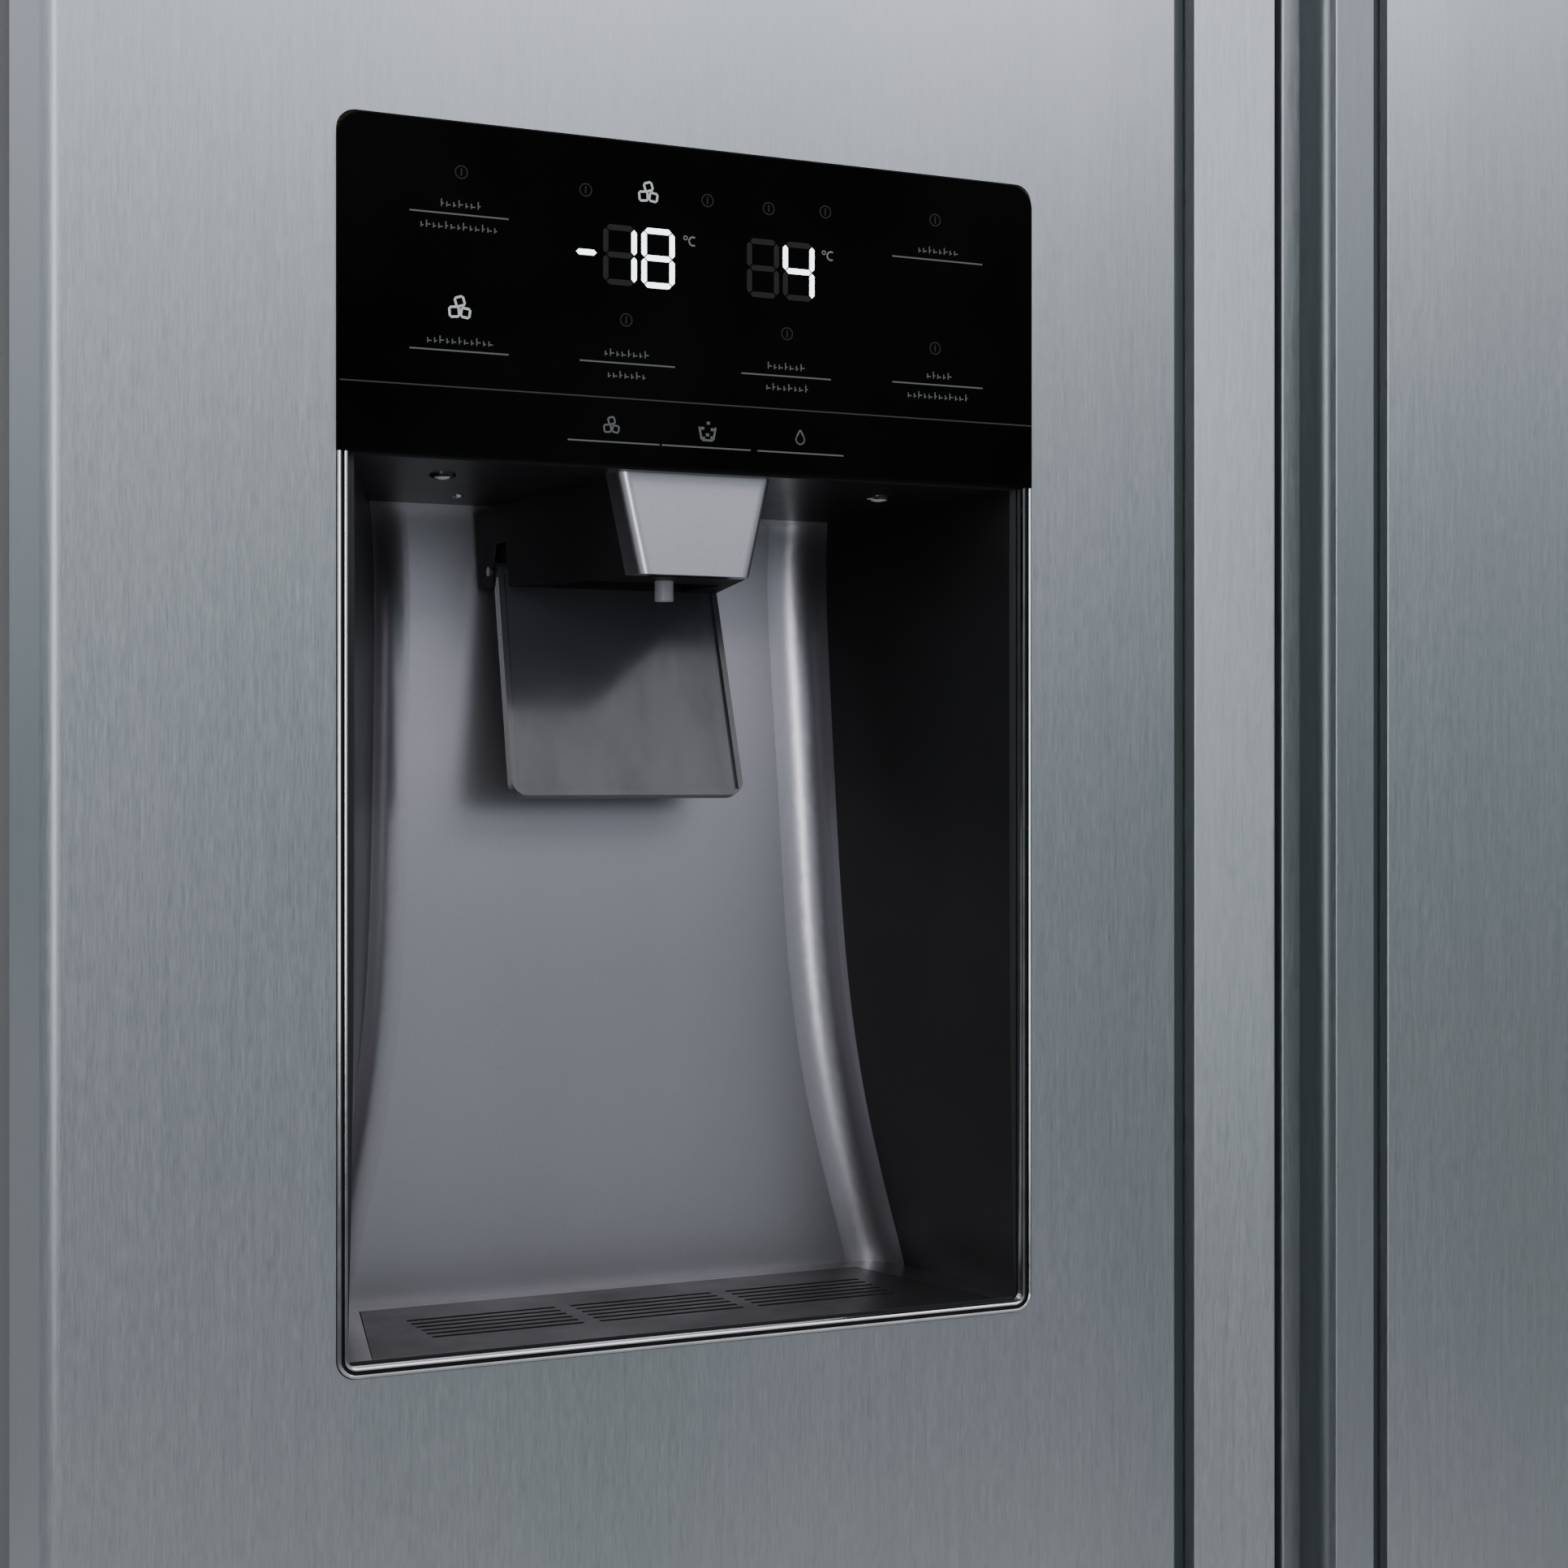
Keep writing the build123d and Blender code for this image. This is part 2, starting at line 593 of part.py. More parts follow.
def door_grip(door):
    """Full-height grip extrusion: a raised ridge with a hollow behind it for the fingers."""
    with BuildPart() as grip:
        outline = [
            (GRIP_W, GRIP_BACK),
            (GRIP_W, SEAM_DEPTH + 2),
            (SEAM_W, SEAM_DEPTH + 2),
            (SEAM_W, 0.6),
            (13.0, -RIDGE_PROUD),
            (12.2, -RIDGE_PROUD + 2.8),
            (26.0, -1.6),
            (28.5, 12.5),
            (12.5, 12.5),
            (10.0, 5.5),
            (LIP_W, 5.5),
            (LIP_W, DOOR_T - PLASTIC),
            (LIP_W + 2, DOOR_T - PLASTIC),
            (LIP_W + 2, GRIP_BACK),
        ]
        placed = [(door.x(w), dy(depth)) for w, depth in outline]
        radii = {4: 0.5, 5: 0.5, 3: 0.8, 6: 4, 7: 5, 8: 3, 9: 1, 10: 1}
        rounds = [(placed[i], radius) for i, radius in radii.items()]
        prism(Plane.XY.offset(DOOR_BOTTOM_Z), placed, DOOR_TOP_Z - DOOR_BOTTOM_Z, rounds=rounds)
    save(grip, f"{door.name}_grip")


def core_outline(door):
    """Plan of the door's inside: full depth behind the skin, shallower behind the grip."""
    back = dy(DOOR_T - PLASTIC)
    return [
        (door.edge_x - door.side * (SHEET + FIT), back),
        (door.edge_x - door.side * (SHEET + FIT), dy(EDGE_R)),
        (door.edge_x - door.side * (SHEET + EDGE_R), dy(SHEET + BEVEL_DROP)),
        (door.x(GRIP_W + SHEET + FIT), dy(SHEET + BEVEL_DROP)),
        (door.x(GRIP_W + SHEET + FIT), dy(GRIP_BACK + FIT)),
        (door.x(LIP_W + 2 + FIT), dy(GRIP_BACK + FIT)),
        (door.x(LIP_W + 2 + FIT), back),
    ]


def door_caps(door):
    """Moulded top and bottom ends of the door, each with the bore for its hinge pin."""
    with BuildPart() as caps:
        for start in (DOOR_BOTTOM_Z, DOOR_TOP_Z - CAP_H):
            prism(Plane.XY.offset(start), core_outline(door), CAP_H)
        rod((door.pin_x, PIN_Y, 0), (0, 0, 1), PIN_R + PIN_CLEARANCE, HEIGHT, Mode.SUBTRACT)
    save(caps, f"{door.name}_caps")


def dispenser_box(grow=0.0):
    """Outer block of the dispenser housing, and the ice chute above it."""
    with BuildPart() as box:
        block(
            (dx(1.5) - grow, dx(DISP_W - 1.5) + grow),
            (dy(DISP_PROUD + 2.0), BUMP_Y - PLASTIC - FIT),
            (dz(-20) - grow, dz(DISP_H - 1.5) + grow),
        )
        block(
            (DISP_MID_X - CHUTE_HALF_X - 3 - grow, DISP_MID_X + CHUTE_HALF_X + 3 + grow),
            (dy(CHUTE_Y[0] - 3) - grow, BUMP_Y - PLASTIC - FIT),
            (dz(DISP_H) - 20, CHUTE_TOP_Z - PLASTIC - FIT),
        )
    return box.part


def chute_zone():
    """Side view of the ice passage: a straight drop with a funnel at its top."""
    return [
        (dy(CHUTE_Y[0]), dz(RECESS_TOP - 8)),
        (dy(CHUTE_Y[1]), dz(RECESS_TOP - 8)),
        (dy(CHUTE_Y[1]), dz(DISP_H)),
        (dy(FUNNEL_BACK), CHUTE_TOP_Z - 10),
        (dy(FUNNEL_BACK), CHUTE_TOP_Z + 2),
        (dy(CHUTE_Y[0]), CHUTE_TOP_Z + 2),
    ]


def door_foam(door):
    """Foam core between the skin and the inner panel."""
    housing = dispenser_box(FIT)
    with BuildPart() as foam:
        height = DOOR_TOP_Z - DOOR_BOTTOM_Z - 2 * CAP_H
        prism(Plane.XY.offset(DOOR_BOTTOM_Z + CAP_H), core_outline(door), height)
        if door is FREEZER_DOOR:
            add(housing, mode=Mode.SUBTRACT)
            block(
                (dx(-FIT), dx(DISP_W + FIT)),
                (dy(0), dy(DISP_PROUD + 2.2)),
                (dz(-FIT), dz(DISP_H + FIT)),
                Mode.SUBTRACT,
            )
    save(foam, f"{door.name}_foam")


BUMP_X = (DISP_X - 14.0, DISP_X + DISP_W + 14.0)
BUMP_Z = (DISP_Z - 34.0, CHUTE_TOP_Z)


def door_liner(door):
    """Inner panel with raised dikes that carry the bins."""
    panel_y = (DOOR_BACK_Y - PLASTIC, DOOR_BACK_Y)
    with BuildPart() as panel:
        panel_x = sorted((door.edge_x - door.side * (SHEET + FIT), door.x(LIP_W + 2 + FIT)))
        block(panel_x, panel_y, (DOOR_BOTTOM_Z, DOOR_TOP_Z))
        if door is FREEZER_DOOR:
            block(BUMP_X, (DOOR_BACK_Y - PLASTIC, BUMP_Y), BUMP_Z)
            fillet(panel.edges().filter_by(Axis.X).group_by(Axis.Y)[-1], 12)
            block(
                inset(BUMP_X, PLASTIC),
                (DOOR_BACK_Y - 3 * PLASTIC, BUMP_Y - PLASTIC),
                inset(BUMP_Z, PLASTIC),
                Mode.SUBTRACT,
            )
            block(
                (DISP_MID_X - CHUTE_HALF_X, DISP_MID_X + CHUTE_HALF_X),
                (dy(DOOR_T + PLASTIC), dy(FUNNEL_BACK)),
                (CHUTE_TOP_Z - 3 * PLASTIC, CHUTE_TOP_Z + 1),
                Mode.SUBTRACT,
            )
    with BuildPart() as dikes:
        block(door.dike_x, (DOOR_BACK_Y, DOOR_BACK_Y + DIKE_DEPTH), DIKE_Z)
        inner_x, inner_z = inset(door.dike_x, DIKE_T), inset(DIKE_Z, DIKE_T)
        block(inner_x, (DOOR_BACK_Y - 1, DOOR_BACK_Y + DIKE_DEPTH + 1), inner_z, Mode.SUBTRACT)
        if door is FREEZER_DOOR:
            block(BUMP_X, (DOOR_BACK_Y - 1, BUMP_Y), BUMP_Z, Mode.SUBTRACT)
    save_solids([panel.part, dikes.part], f"{door.name}_liner")


GASKET_W = 14.0
GASKET_GAP = 0.5
GASKET_EDGE = 3.0


def door_gasket(door):
    """Magnetic seal round the back of the door."""
    with BuildPart() as gasket:
        seal_x = sorted((door.pin_x - door.side * GASKET_EDGE, door.x(LIP_W + 10)))
        seal_z = (ROOM_Z[0] - 24, DOOR_TOP_Z - 12)
        seal_y = (DOOR_BACK_Y, CAB_FRONT_Y - GASKET_GAP)
        block(seal_x, seal_y, seal_z)
        block(
            inset(seal_x, GASKET_W),
            (seal_y[0] - 1, seal_y[1] + 1),
            inset(seal_z, GASKET_W),
            Mode.SUBTRACT,
        )
        fillet(gasket.edges().filter_by(lambda e: e.length > 200).group_by(Axis.Y)[-1], 3)
    save(gasket, f"{door.name}_gasket")


BIN_FRONT_Y = DOOR_BACK_Y + 1.0
FREEZER_BIN_Z = (170.0, 365.0, 560.0, 755.0, 1480.0)
FRIDGE_BIN_Z = (170.0, 440.0, 700.0, 950.0, 1200.0)
BIN_H = 105.0
FREEZER_BIN_Y = DOOR_BACK_Y + 104.0
FRIDGE_BIN_Y = DOOR_BACK_Y + 108.0


def door_bins(door, heights, back_y):
    """Clear bins that hang between the dikes, each with a rounded front rail."""
    span = inset(door.dike_x, DIKE_T + FIT)
    with BuildPart() as bins:
        for height in heights:
            bin_z = (height, height + BIN_H)
            open_bin(span, (BIN_FRONT_Y, back_y), bin_z, BIN_WALL, BIN_WALL)
            block(inset(span, 6), (back_y, back_y + 3), (height + BIN_H - 22, height + BIN_H))
        if door is FRIDGE_DOOR:
            dairy_box(span)
    save(bins, f"{door.name}_bins")


DAIRY_Z = 1450.0
DAIRY_H = 120.0
LID_PIVOT = (DOOR_BACK_Y + 10.0, DAIRY_Z + DAIRY_H + 8.0)
LID_PIN_R = 2.0


def dairy_box(span):
    """Covered bin at the top of the fridge door, with two ears for its lid."""
    open_bin(span, (BIN_FRONT_Y, FRIDGE_BIN_Y - 6), (DAIRY_Z, DAIRY_Z + DAIRY_H), BIN_WALL, BIN_WALL)
    for x in (span[0], span[1] - BIN_WALL):
        ear_z = (DAIRY_Z + DAIRY_H, LID_PIVOT[1] + 6)
        block((x, x + BIN_WALL), (BIN_FRONT_Y, LID_PIVOT[0] + 6), ear_z)
    rod((span[0] - 1, *LID_PIVOT), (1, 0, 0), LID_PIN_R + PIN_CLEARANCE, span[1] - span[0] + 2,
        Mode.SUBTRACT)


def dairy_lid():
    """Clear flap that swings up on two pins."""
    span = inset(FRIDGE_DIKE_X, DIKE_T + FIT)
    inner = inset(span, BIN_WALL + 0.5)
    with BuildPart() as lid:
        pivot_y, pivot_z = LID_PIVOT
        rod((inner[0], pivot_y, pivot_z), (1, 0, 0), 4, inner[1] - inner[0])
        block(inner, (pivot_y, FRIDGE_BIN_Y + 2), (pivot_z - 3, pivot_z))
        block(inner, (FRIDGE_BIN_Y - 1, FRIDGE_BIN_Y + 2), (pivot_z - 50, pivot_z))
        rod((span[0] + 0.5, pivot_y, pivot_z), (1, 0, 0), LID_PIN_R, span[1] - span[0] - 1)
    save(lid, "dairy_lid")


# --- Hinges ---------------------------------------------------------------------------------
HINGE_T = 4.0


def door_hinges():
    """Two top plates and two bottom brackets on the cabinet, each with a pin into its door."""
    top_z = (CAB_TOP_Z, CAB_TOP_Z + HINGE_T)
    foot_z = (DOOR_BOTTOM_Z - 2 - HINGE_T, DOOR_BOTTOM_Z - 2)
    with BuildPart() as hinges:
        for side in (-1, 1):
            narrow_x = sorted((side * (PIN_X + 14), side * (PIN_X - 16)))
            block(narrow_x, (PIN_Y - 12, CAB_FRONT_Y + 70), top_z)
            wide_x = sorted((side * (PIN_X + 14), side * (PIN_X - 60)))
            block(wide_x, (CAB_FRONT_Y + 20, CAB_FRONT_Y + 70), top_z)
            pin_length = CAB_TOP_Z - DOOR_TOP_Z + CAP_H - 1
            rod((side * PIN_X, PIN_Y, CAB_TOP_Z), (0, 0, -1), PIN_R, pin_length)

            foot_x = sorted((side * (PIN_X + 12), side * (PIN_X - 28)))
            block(foot_x, (PIN_Y - 12, CAB_FRONT_Y), foot_z)
            block(foot_x, (CAB_FRONT_Y - HINGE_T, CAB_FRONT_Y), (CAB_BOTTOM_Z + 28, foot_z[1]))
            rod((side * PIN_X, PIN_Y, foot_z[1]), (0, 0, 1), PIN_R, CAP_H + 1)
    save(hinges, "door_hinges")


COVER_FRONT_Y = FACE_Y + 12.0
COVER_BACK_Y = CAB_FRONT_Y + 84.0


def hinge_covers():
    """Plastic covers over the top hinges."""
    with BuildPart() as covers:
        for side in (-1, 1):
            cover_x = sorted((side * (SIDE_X - 2), side * (SIDE_X - 92)))
            block(cover_x, (COVER_FRONT_Y, COVER_BACK_Y), (CAB_TOP_Z, HEIGHT))
        fillet(covers.edges().filter_by(Axis.Z), 8)
        fillet(covers.edges().group_by(Axis.Z)[-1], 5)
        for side in (-1, 1):
            hollow_x = sorted((side * (SIDE_X - 5), side * (SIDE_X - 89)))
            block(
                hollow_x,
                (COVER_FRONT_Y + 3, COVER_BACK_Y - 3),
                (CAB_TOP_Z - 1, HEIGHT - 6),
                Mode.SUBTRACT,
            )
    save(covers, "hinge_covers")


# --- Dispenser ------------------------------------------------------------------------------
# Half width of the recess at the back, from its floor up: it is narrow at waist height
# and flares out towards the tray.
RECESS_PROFILE = ((-24, 111), (TRAY_TOP, 105), (49, 92), (107, 82), (190, 78), (RECESS_TOP, 79))
RECESS_HALF_W = DISP_W / 2 - TRIM_W
RECESS_CORNER_R = 16.0
FLOOR_BACK = 82.0  # the back plate leans: its foot is nearer than its head


TRAY_HALF_W = (105.0, 89.0)  # at the front and at the back, so that it lifts between the cheeks
TRAY_Y = (dy(4.0), dy(72.0))
TRAY_DEPTH = 15.0
TRAY_WALL = 1.8
GRILLE_T = 2.0
CEILING_DROP = 6.0
PLATE_START = (68.0, 82.0)  # depth where the silver liner begins, at its foot and at its head
PLATE_END = RECESS_BACK + 8.0


def ceiling_zone():
    """Side view of what lies above the recess, whose ceiling falls towards the back."""
    return [
        (dy(-20), dz(RECESS_TOP + 30)),
        (dy(PLATE_END + 20), dz(RECESS_TOP + 30)),
        (dy(PLATE_END + 20), dz(RECESS_TOP - CEILING_DROP)),
        (dy(PLATE_END), dz(RECESS_TOP - CEILING_DROP)),
        (dy(DISP_PROUD + 2), dz(RECESS_TOP)),
        (dy(-20), dz(RECESS_TOP)),
    ]


def back_zone():
    """Side view of the silver liner's zone, which leans back with the liner."""
    return [
        (dy(PLATE_START[0]), dz(TRAY_TOP)),
        (dy(PLATE_END), dz(TRAY_TOP)),
        (dy(PLATE_END), dz(RECESS_TOP)),
        (dy(PLATE_START[1]), dz(RECESS_TOP)),
    ]


def recess_solid():
    """The hollow of the dispenser, as a solid lofted through level outlines."""
    with BuildPart() as hollow:
        bottom, top = RECESS_PROFILE[0][0], RECESS_PROFILE[-1][0]
        for height, half in RECESS_PROFILE:
            share = max(0.0, (height - TRAY_TOP) / (top - TRAY_TOP))
            back = FLOOR_BACK + (RECESS_BACK - FLOOR_BACK) * share
            with BuildSketch(Plane.XY.offset(dz(height))) as level:
                with BuildLine():
                    Polyline(
                        (DISP_MID_X - RECESS_HALF_W, dy(-4)),
                        (DISP_MID_X - half, dy(back)),
                        (DISP_MID_X + half, dy(back)),
                        (DISP_MID_X + RECESS_HALF_W, dy(-4)),
                        close=True,
                    )
                make_face()
                fillet(level.vertices().group_by(Axis.Y)[-1], RECESS_CORNER_R)
        loft()
        block((dx(-50), dx(DISP_W + 50)), (dy(-10), dy(150)), (dz(bottom - 20), dz(TRAY_TOP)),
              Mode.SUBTRACT)
        prism(Plane.YZ.offset(dx(-50)), ceiling_zone(), DISP_W + 100, Mode.SUBTRACT)
    return hollow.part


def tray_slab(bottom, top, shrink=0.0, mode=Mode.ADD):
    """The tray's outline, narrower at its back, pulled up between two levels."""
    front, back = (half - shrink for half in TRAY_HALF_W)
    front_y, back_y = inset(TRAY_Y, shrink)
    corners = [
        (DISP_MID_X - front, front_y),
        (DISP_MID_X + front, front_y),
        (DISP_MID_X + back, back_y),
        (DISP_MID_X - back, back_y),
    ]
    prism(Plane.XY.offset(bottom), corners, top - bottom, mode)


def dispenser_housing(hollow):
    """Black moulded box that forms the recess and its sides."""
    outside = dispenser_box()
    with BuildPart() as housing:
        add(outside)
        add(hollow, mode=Mode.SUBTRACT)
        prism(Plane.YZ.offset(dx(6)), back_zone(), DISP_W - 12, Mode.SUBTRACT)
        tray_slab(dz(TRAY_TOP - TRAY_DEPTH), dz(12), -FIT, Mode.SUBTRACT)
        prism(Plane.YZ.offset(DISP_MID_X - CHUTE_HALF_X), chute_zone(), 2 * CHUTE_HALF_X, Mode.SUBTRACT)
        block((dx(12), dx(DISP_W - 12)), (dy(DISP_PROUD), dy(12)), (dz(276), dz(364)), Mode.SUBTRACT)
        rod((DISP_MID_X - 60, *FLAP_PIVOT), (1, 0, 0), FLAP_PIN_R + PIN_CLEARANCE, 120, Mode.SUBTRACT)
    save(housing, "dispenser_housing")


def dispenser_back(hollow):
    """Satin silver liner of the recess: the back and its two flared cheeks."""
    with BuildPart() as back:
        prism(Plane.YZ.offset(dx(6)), back_zone(), DISP_W - 12)
        add(hollow, mode=Mode.SUBTRACT)
    save(back, "dispenser_back")


SPOUT_FRONT = 6.5
SPOUT_BACK = 92.0
SPOUT_BOTTOM = 238.5
SPOUT_LEVELS = ((SPOUT_BOTTOM, 18.2, 41.8), (RECESS_TOP, 25.6, 43.0))
SPOUT_CAP = 15.0
NOZZLE_DEPTH = 33.0
NOZZLE_R = 3.05
NOZZLE_BOTTOM = 232.0


def spout_solid():
    """Tapered block of the spout, narrow at the front and wide at the back."""
    with BuildPart() as spout:
        for height, front_half, back_half in SPOUT_LEVELS:
            with BuildSketch(Plane.XY.offset(dz(height))) as level:
                with BuildLine():
                    Polyline(
                        (DISP_MID_X - front_half, dy(SPOUT_FRONT)),
                        (DISP_MID_X - back_half, dy(SPOUT_BACK)),
                        (DISP_MID_X + back_half, dy(SPOUT_BACK)),
                        (DISP_MID_X + front_half, dy(SPOUT_FRONT)),
                        close=True,
                    )
                make_face()
                fillet(level.vertices().group_by(Axis.Y)[0], 4)
        loft()
        prism(Plane.YZ.offset(dx(0)), ceiling_zone(), DISP_W, Mode.SUBTRACT)
    return spout.part


def spout_body(spout):
    """Black spout housing: ice passage, nozzle hole and a pocket for the paddle's pivot."""
    with BuildPart() as body:
        add(spout)
        block((dx(0), dx(DISP_W)), (dy(0), dy(SPOUT_CAP)), (dz(200), dz(300)), Mode.SUBTRACT)
        chute_x = (DISP_MID_X - CHUTE_HALF_X, DISP_MID_X + CHUTE_HALF_X)
        block(chute_x, (dy(CHUTE_Y[0]), dy(CHUTE_Y[1] - 4)), (dz(200), dz(300)), Mode.SUBTRACT)
        pocket_x = (DISP_MID_X - PADDLE_HALF_X - 0.5, DISP_MID_X + PADDLE_HALF_X + 0.5)
        block(pocket_x, (dy(CHUTE_Y[1] - 2), dy(SPOUT_BACK + 1)), (dz(200), dz(253)), Mode.SUBTRACT)
        pivot = (DISP_MID_X - 41.5, dy(PADDLE_PIVOT[0]), dz(PADDLE_PIVOT[1]))
        rod(pivot, (1, 0, 0), PADDLE_PIN_R + PIN_CLEARANCE, 83, Mode.SUBTRACT)
        rod((DISP_MID_X, dy(NOZZLE_DEPTH), dz(200)), (0, 0, 1), NOZZLE_R, 60, Mode.SUBTRACT)
    save(body, "spout_body")


def spout_cap(spout):
    """Silver front of the spout."""
    with BuildPart() as cap:
        add(spout)
        block((dx(0), dx(DISP_W)), (dy(SPOUT_CAP), dy(120)), (dz(200), dz(300)), Mode.SUBTRACT)
        block(
            (DISP_MID_X - 14, DISP_MID_X + 14),
            (dy(SPOUT_FRONT + 3), dy(SPOUT_CAP + 1)),
            (dz(200), dz(RECESS_TOP - 4)),
            Mode.SUBTRACT,
        )
    save(cap, "spout_cap")


def water_nozzle():
    """Translucent tube that the water runs out of."""
    with BuildPart() as nozzle:
        start = (DISP_MID_X, dy(NOZZLE_DEPTH), dz(NOZZLE_BOTTOM))
        rod(start, (0, 0, 1), NOZZLE_R, 28)
        rod(start, (0, 0, 1), NOZZLE_R - 1, 28, Mode.SUBTRACT)
    save(nozzle, "water_nozzle")


PADDLE_PIN_R = 1.6
PADDLE_BOTTOM = (65.0, 168.5)
PADDLE_T = 3.0
PADDLE_RIM = 1.4
RIM_W = 2.0


def paddle():
    """Glossy lever that a glass pushes back: a flat flap with a raised rim, on two pins."""
    pivot_depth, pivot_height = PADDLE_PIVOT
    foot_depth, foot_height = PADDLE_BOTTOM
    down = Vector(0, foot_depth - pivot_depth, foot_height - pivot_height)
    face = Plane(
        origin=(DISP_MID_X, dy(pivot_depth), dz(pivot_height)),
        x_dir=(1, 0, 0),
        z_dir=Vector(1, 0, 0).cross(down * -1),
    )
    reach = down.length
    outer = [(-PADDLE_HALF_X, 0), (-PADDLE_FOOT_HALF_X, -reach), (PADDLE_FOOT_HALF_X, -reach), (PADDLE_HALF_X, 0)]
    foot_corners = [(corner, 5) for corner in outer[1:3]]
    inner_top, inner_foot = PADDLE_HALF_X - RIM_W, PADDLE_FOOT_HALF_X - RIM_W
    inner_reach = reach - RIM_W
    inner = [(-inner_top, 1), (-inner_foot, -inner_reach), (inner_foot, -inner_reach), (inner_top, 1)]
    with BuildPart() as flap:
        prism(face, outer, PADDLE_T + PADDLE_RIM, rounds=foot_corners)
        prism(face.offset(PADDLE_T), inner, PADDLE_RIM + 1, Mode.SUBTRACT)
        start = (DISP_MID_X - PADDLE_HALF_X, dy(pivot_depth), dz(pivot_height))
        rod(start, (1, 0, 0), 3.4, 2 * PADDLE_HALF_X)
        start = (DISP_MID_X - 41.2, dy(pivot_depth), dz(pivot_height))
        rod(start, (1, 0, 0), PADDLE_PIN_R, 82.4)
    save(flap, "paddle")


FLAP_PIVOT = (dy(CHUTE_Y[1] - 2.2), dz(310))
FLAP_PIN_R = 1.5


def chute_flap():
    """Insulated door that closes the ice chute until the paddle is pushed."""
    pivot_y, pivot_z = FLAP_PIVOT
    with BuildPart() as flap:
        flap_x = inset((DISP_MID_X - CHUTE_HALF_X, DISP_MID_X + CHUTE_HALF_X), 0.6)
        block(flap_x, (dy(CHUTE_Y[0] + 0.8), pivot_y), (pivot_z - 1.5, pivot_z + 1.5))
        rod((flap_x[0], pivot_y, pivot_z), (1, 0, 0), 1.9, flap_x[1] - flap_x[0])
        rod((flap_x[0] - 4, pivot_y, pivot_z), (1, 0, 0), FLAP_PIN_R, flap_x[1] - flap_x[0] + 8)
    save(flap, "chute_flap")


def dispenser_trim():
    """Thin chrome frame round the sides and bottom of the recess."""
    right, top = DISP_X + DISP_W, dz(GLASS_BOTTOM)
    inner_left, inner_right, inner_foot = dx(TRIM_W), dx(DISP_W - TRIM_W), dz(TRAY_TOP)
    back = front_plane(dy(DISP_PROUD + 2))
    with BuildPart() as trim:
        prism(
            back,
            [(DISP_X, DISP_Z), (right, DISP_Z), (right, top), (DISP_X, top)],
            2 * DISP_PROUD + 2,
            rounds=[((DISP_X, DISP_Z), 6), ((right, DISP_Z), 6)],
        )
        prism(
            back,
            [
                (inner_left, inner_foot),
                (inner_right, inner_foot),
                (inner_right, top + 5),
                (inner_left, top + 5),
            ],
            2 * DISP_PROUD + 2,
            Mode.SUBTRACT,
            rounds=[((inner_left, inner_foot), 3), ((inner_right, inner_foot), 3)],
        )
        chamfer(trim.faces().sort_by(Axis.Y)[0].edges(), 0.5)
    save(trim, "dispenser_trim")


def control_glass():
    """Black glass control panel above the recess."""
    with BuildPart() as glass:
        with BuildSketch(front_plane(dy(DISP_PROUD + 2))) as outline:
            with Locations((DISP_MID_X, DISP_Z + (DISP_H + GLASS_BOTTOM) / 2)):
                Rectangle(DISP_W, DISP_H - GLASS_BOTTOM - FIT)
                fillet(outline.vertices().group_by(Axis.Y)[-1], 7.5)
        extrude(outline.sketch, amount=2 * DISP_PROUD + 2)
        chamfer(glass.faces().sort_by(Axis.Y)[0].edges(), 0.4)
    save(glass, "control_glass")


def drip_tray():
    """Lift-out dish under the grille."""
    with BuildPart() as dish:
        floor, rim = dz(TRAY_TOP - TRAY_DEPTH) + FIT, dz(TRAY_TOP - GRILLE_T)
        tray_slab(floor, rim)
        tray_slab(floor + TRAY_WALL, rim + TRAY_WALL, TRAY_WALL, Mode.SUBTRACT)
    save(dish, "drip_tray")


SLIT_W = 2.2
SLIT_L = 50.0


def drip_grille():
    """Slotted plate that the glass stands on."""
    with BuildPart() as grille:
        tray_slab(dz(TRAY_TOP - GRILLE_T), dz(TRAY_TOP))
        with BuildSketch(Plane.XY.offset(dz(TRAY_TOP - 3))) as slits:
            with Locations((DISP_MID_X, dy(39))):
                with GridLocations(SLIT_L + 5, 5.2, 3, 6):
                    SlotOverall(SLIT_L, SLIT_W)
        extrude(slits.sketch, amount=4, mode=Mode.SUBTRACT)
    save(grille, "drip_grille")


# --- Freezer and fridge insides ---------------------------------------------------------------
SHELF_T = 4.0
DUCT_Y = 240.0
SHELF_BACK_Y = DUCT_Y - 6.0
SIDE_GAP = 0.6


def glass_shelves():
    """Toughened glass shelves of both compartments, resting on the linings' ledges."""
    with BuildPart() as shelves:
        for room, heights in ((FREEZER_X, FREEZER_SHELF_Z), (FRIDGE_X, FRIDGE_SHELF_Z)):
            for height in heights:
                glass_z = (height, height + SHELF_T)
                block(inset(room, SIDE_GAP), (SHELF_FRONT_Y + 8, SHELF_BACK_Y), glass_z)
    save(shelves, "glass_shelves")


EVAP_FAN_SPOT = (-233.0, 1100.0)
EVAP_FAN_CENTRE = (EVAP_FAN_SPOT[0], 270.0, EVAP_FAN_SPOT[1])


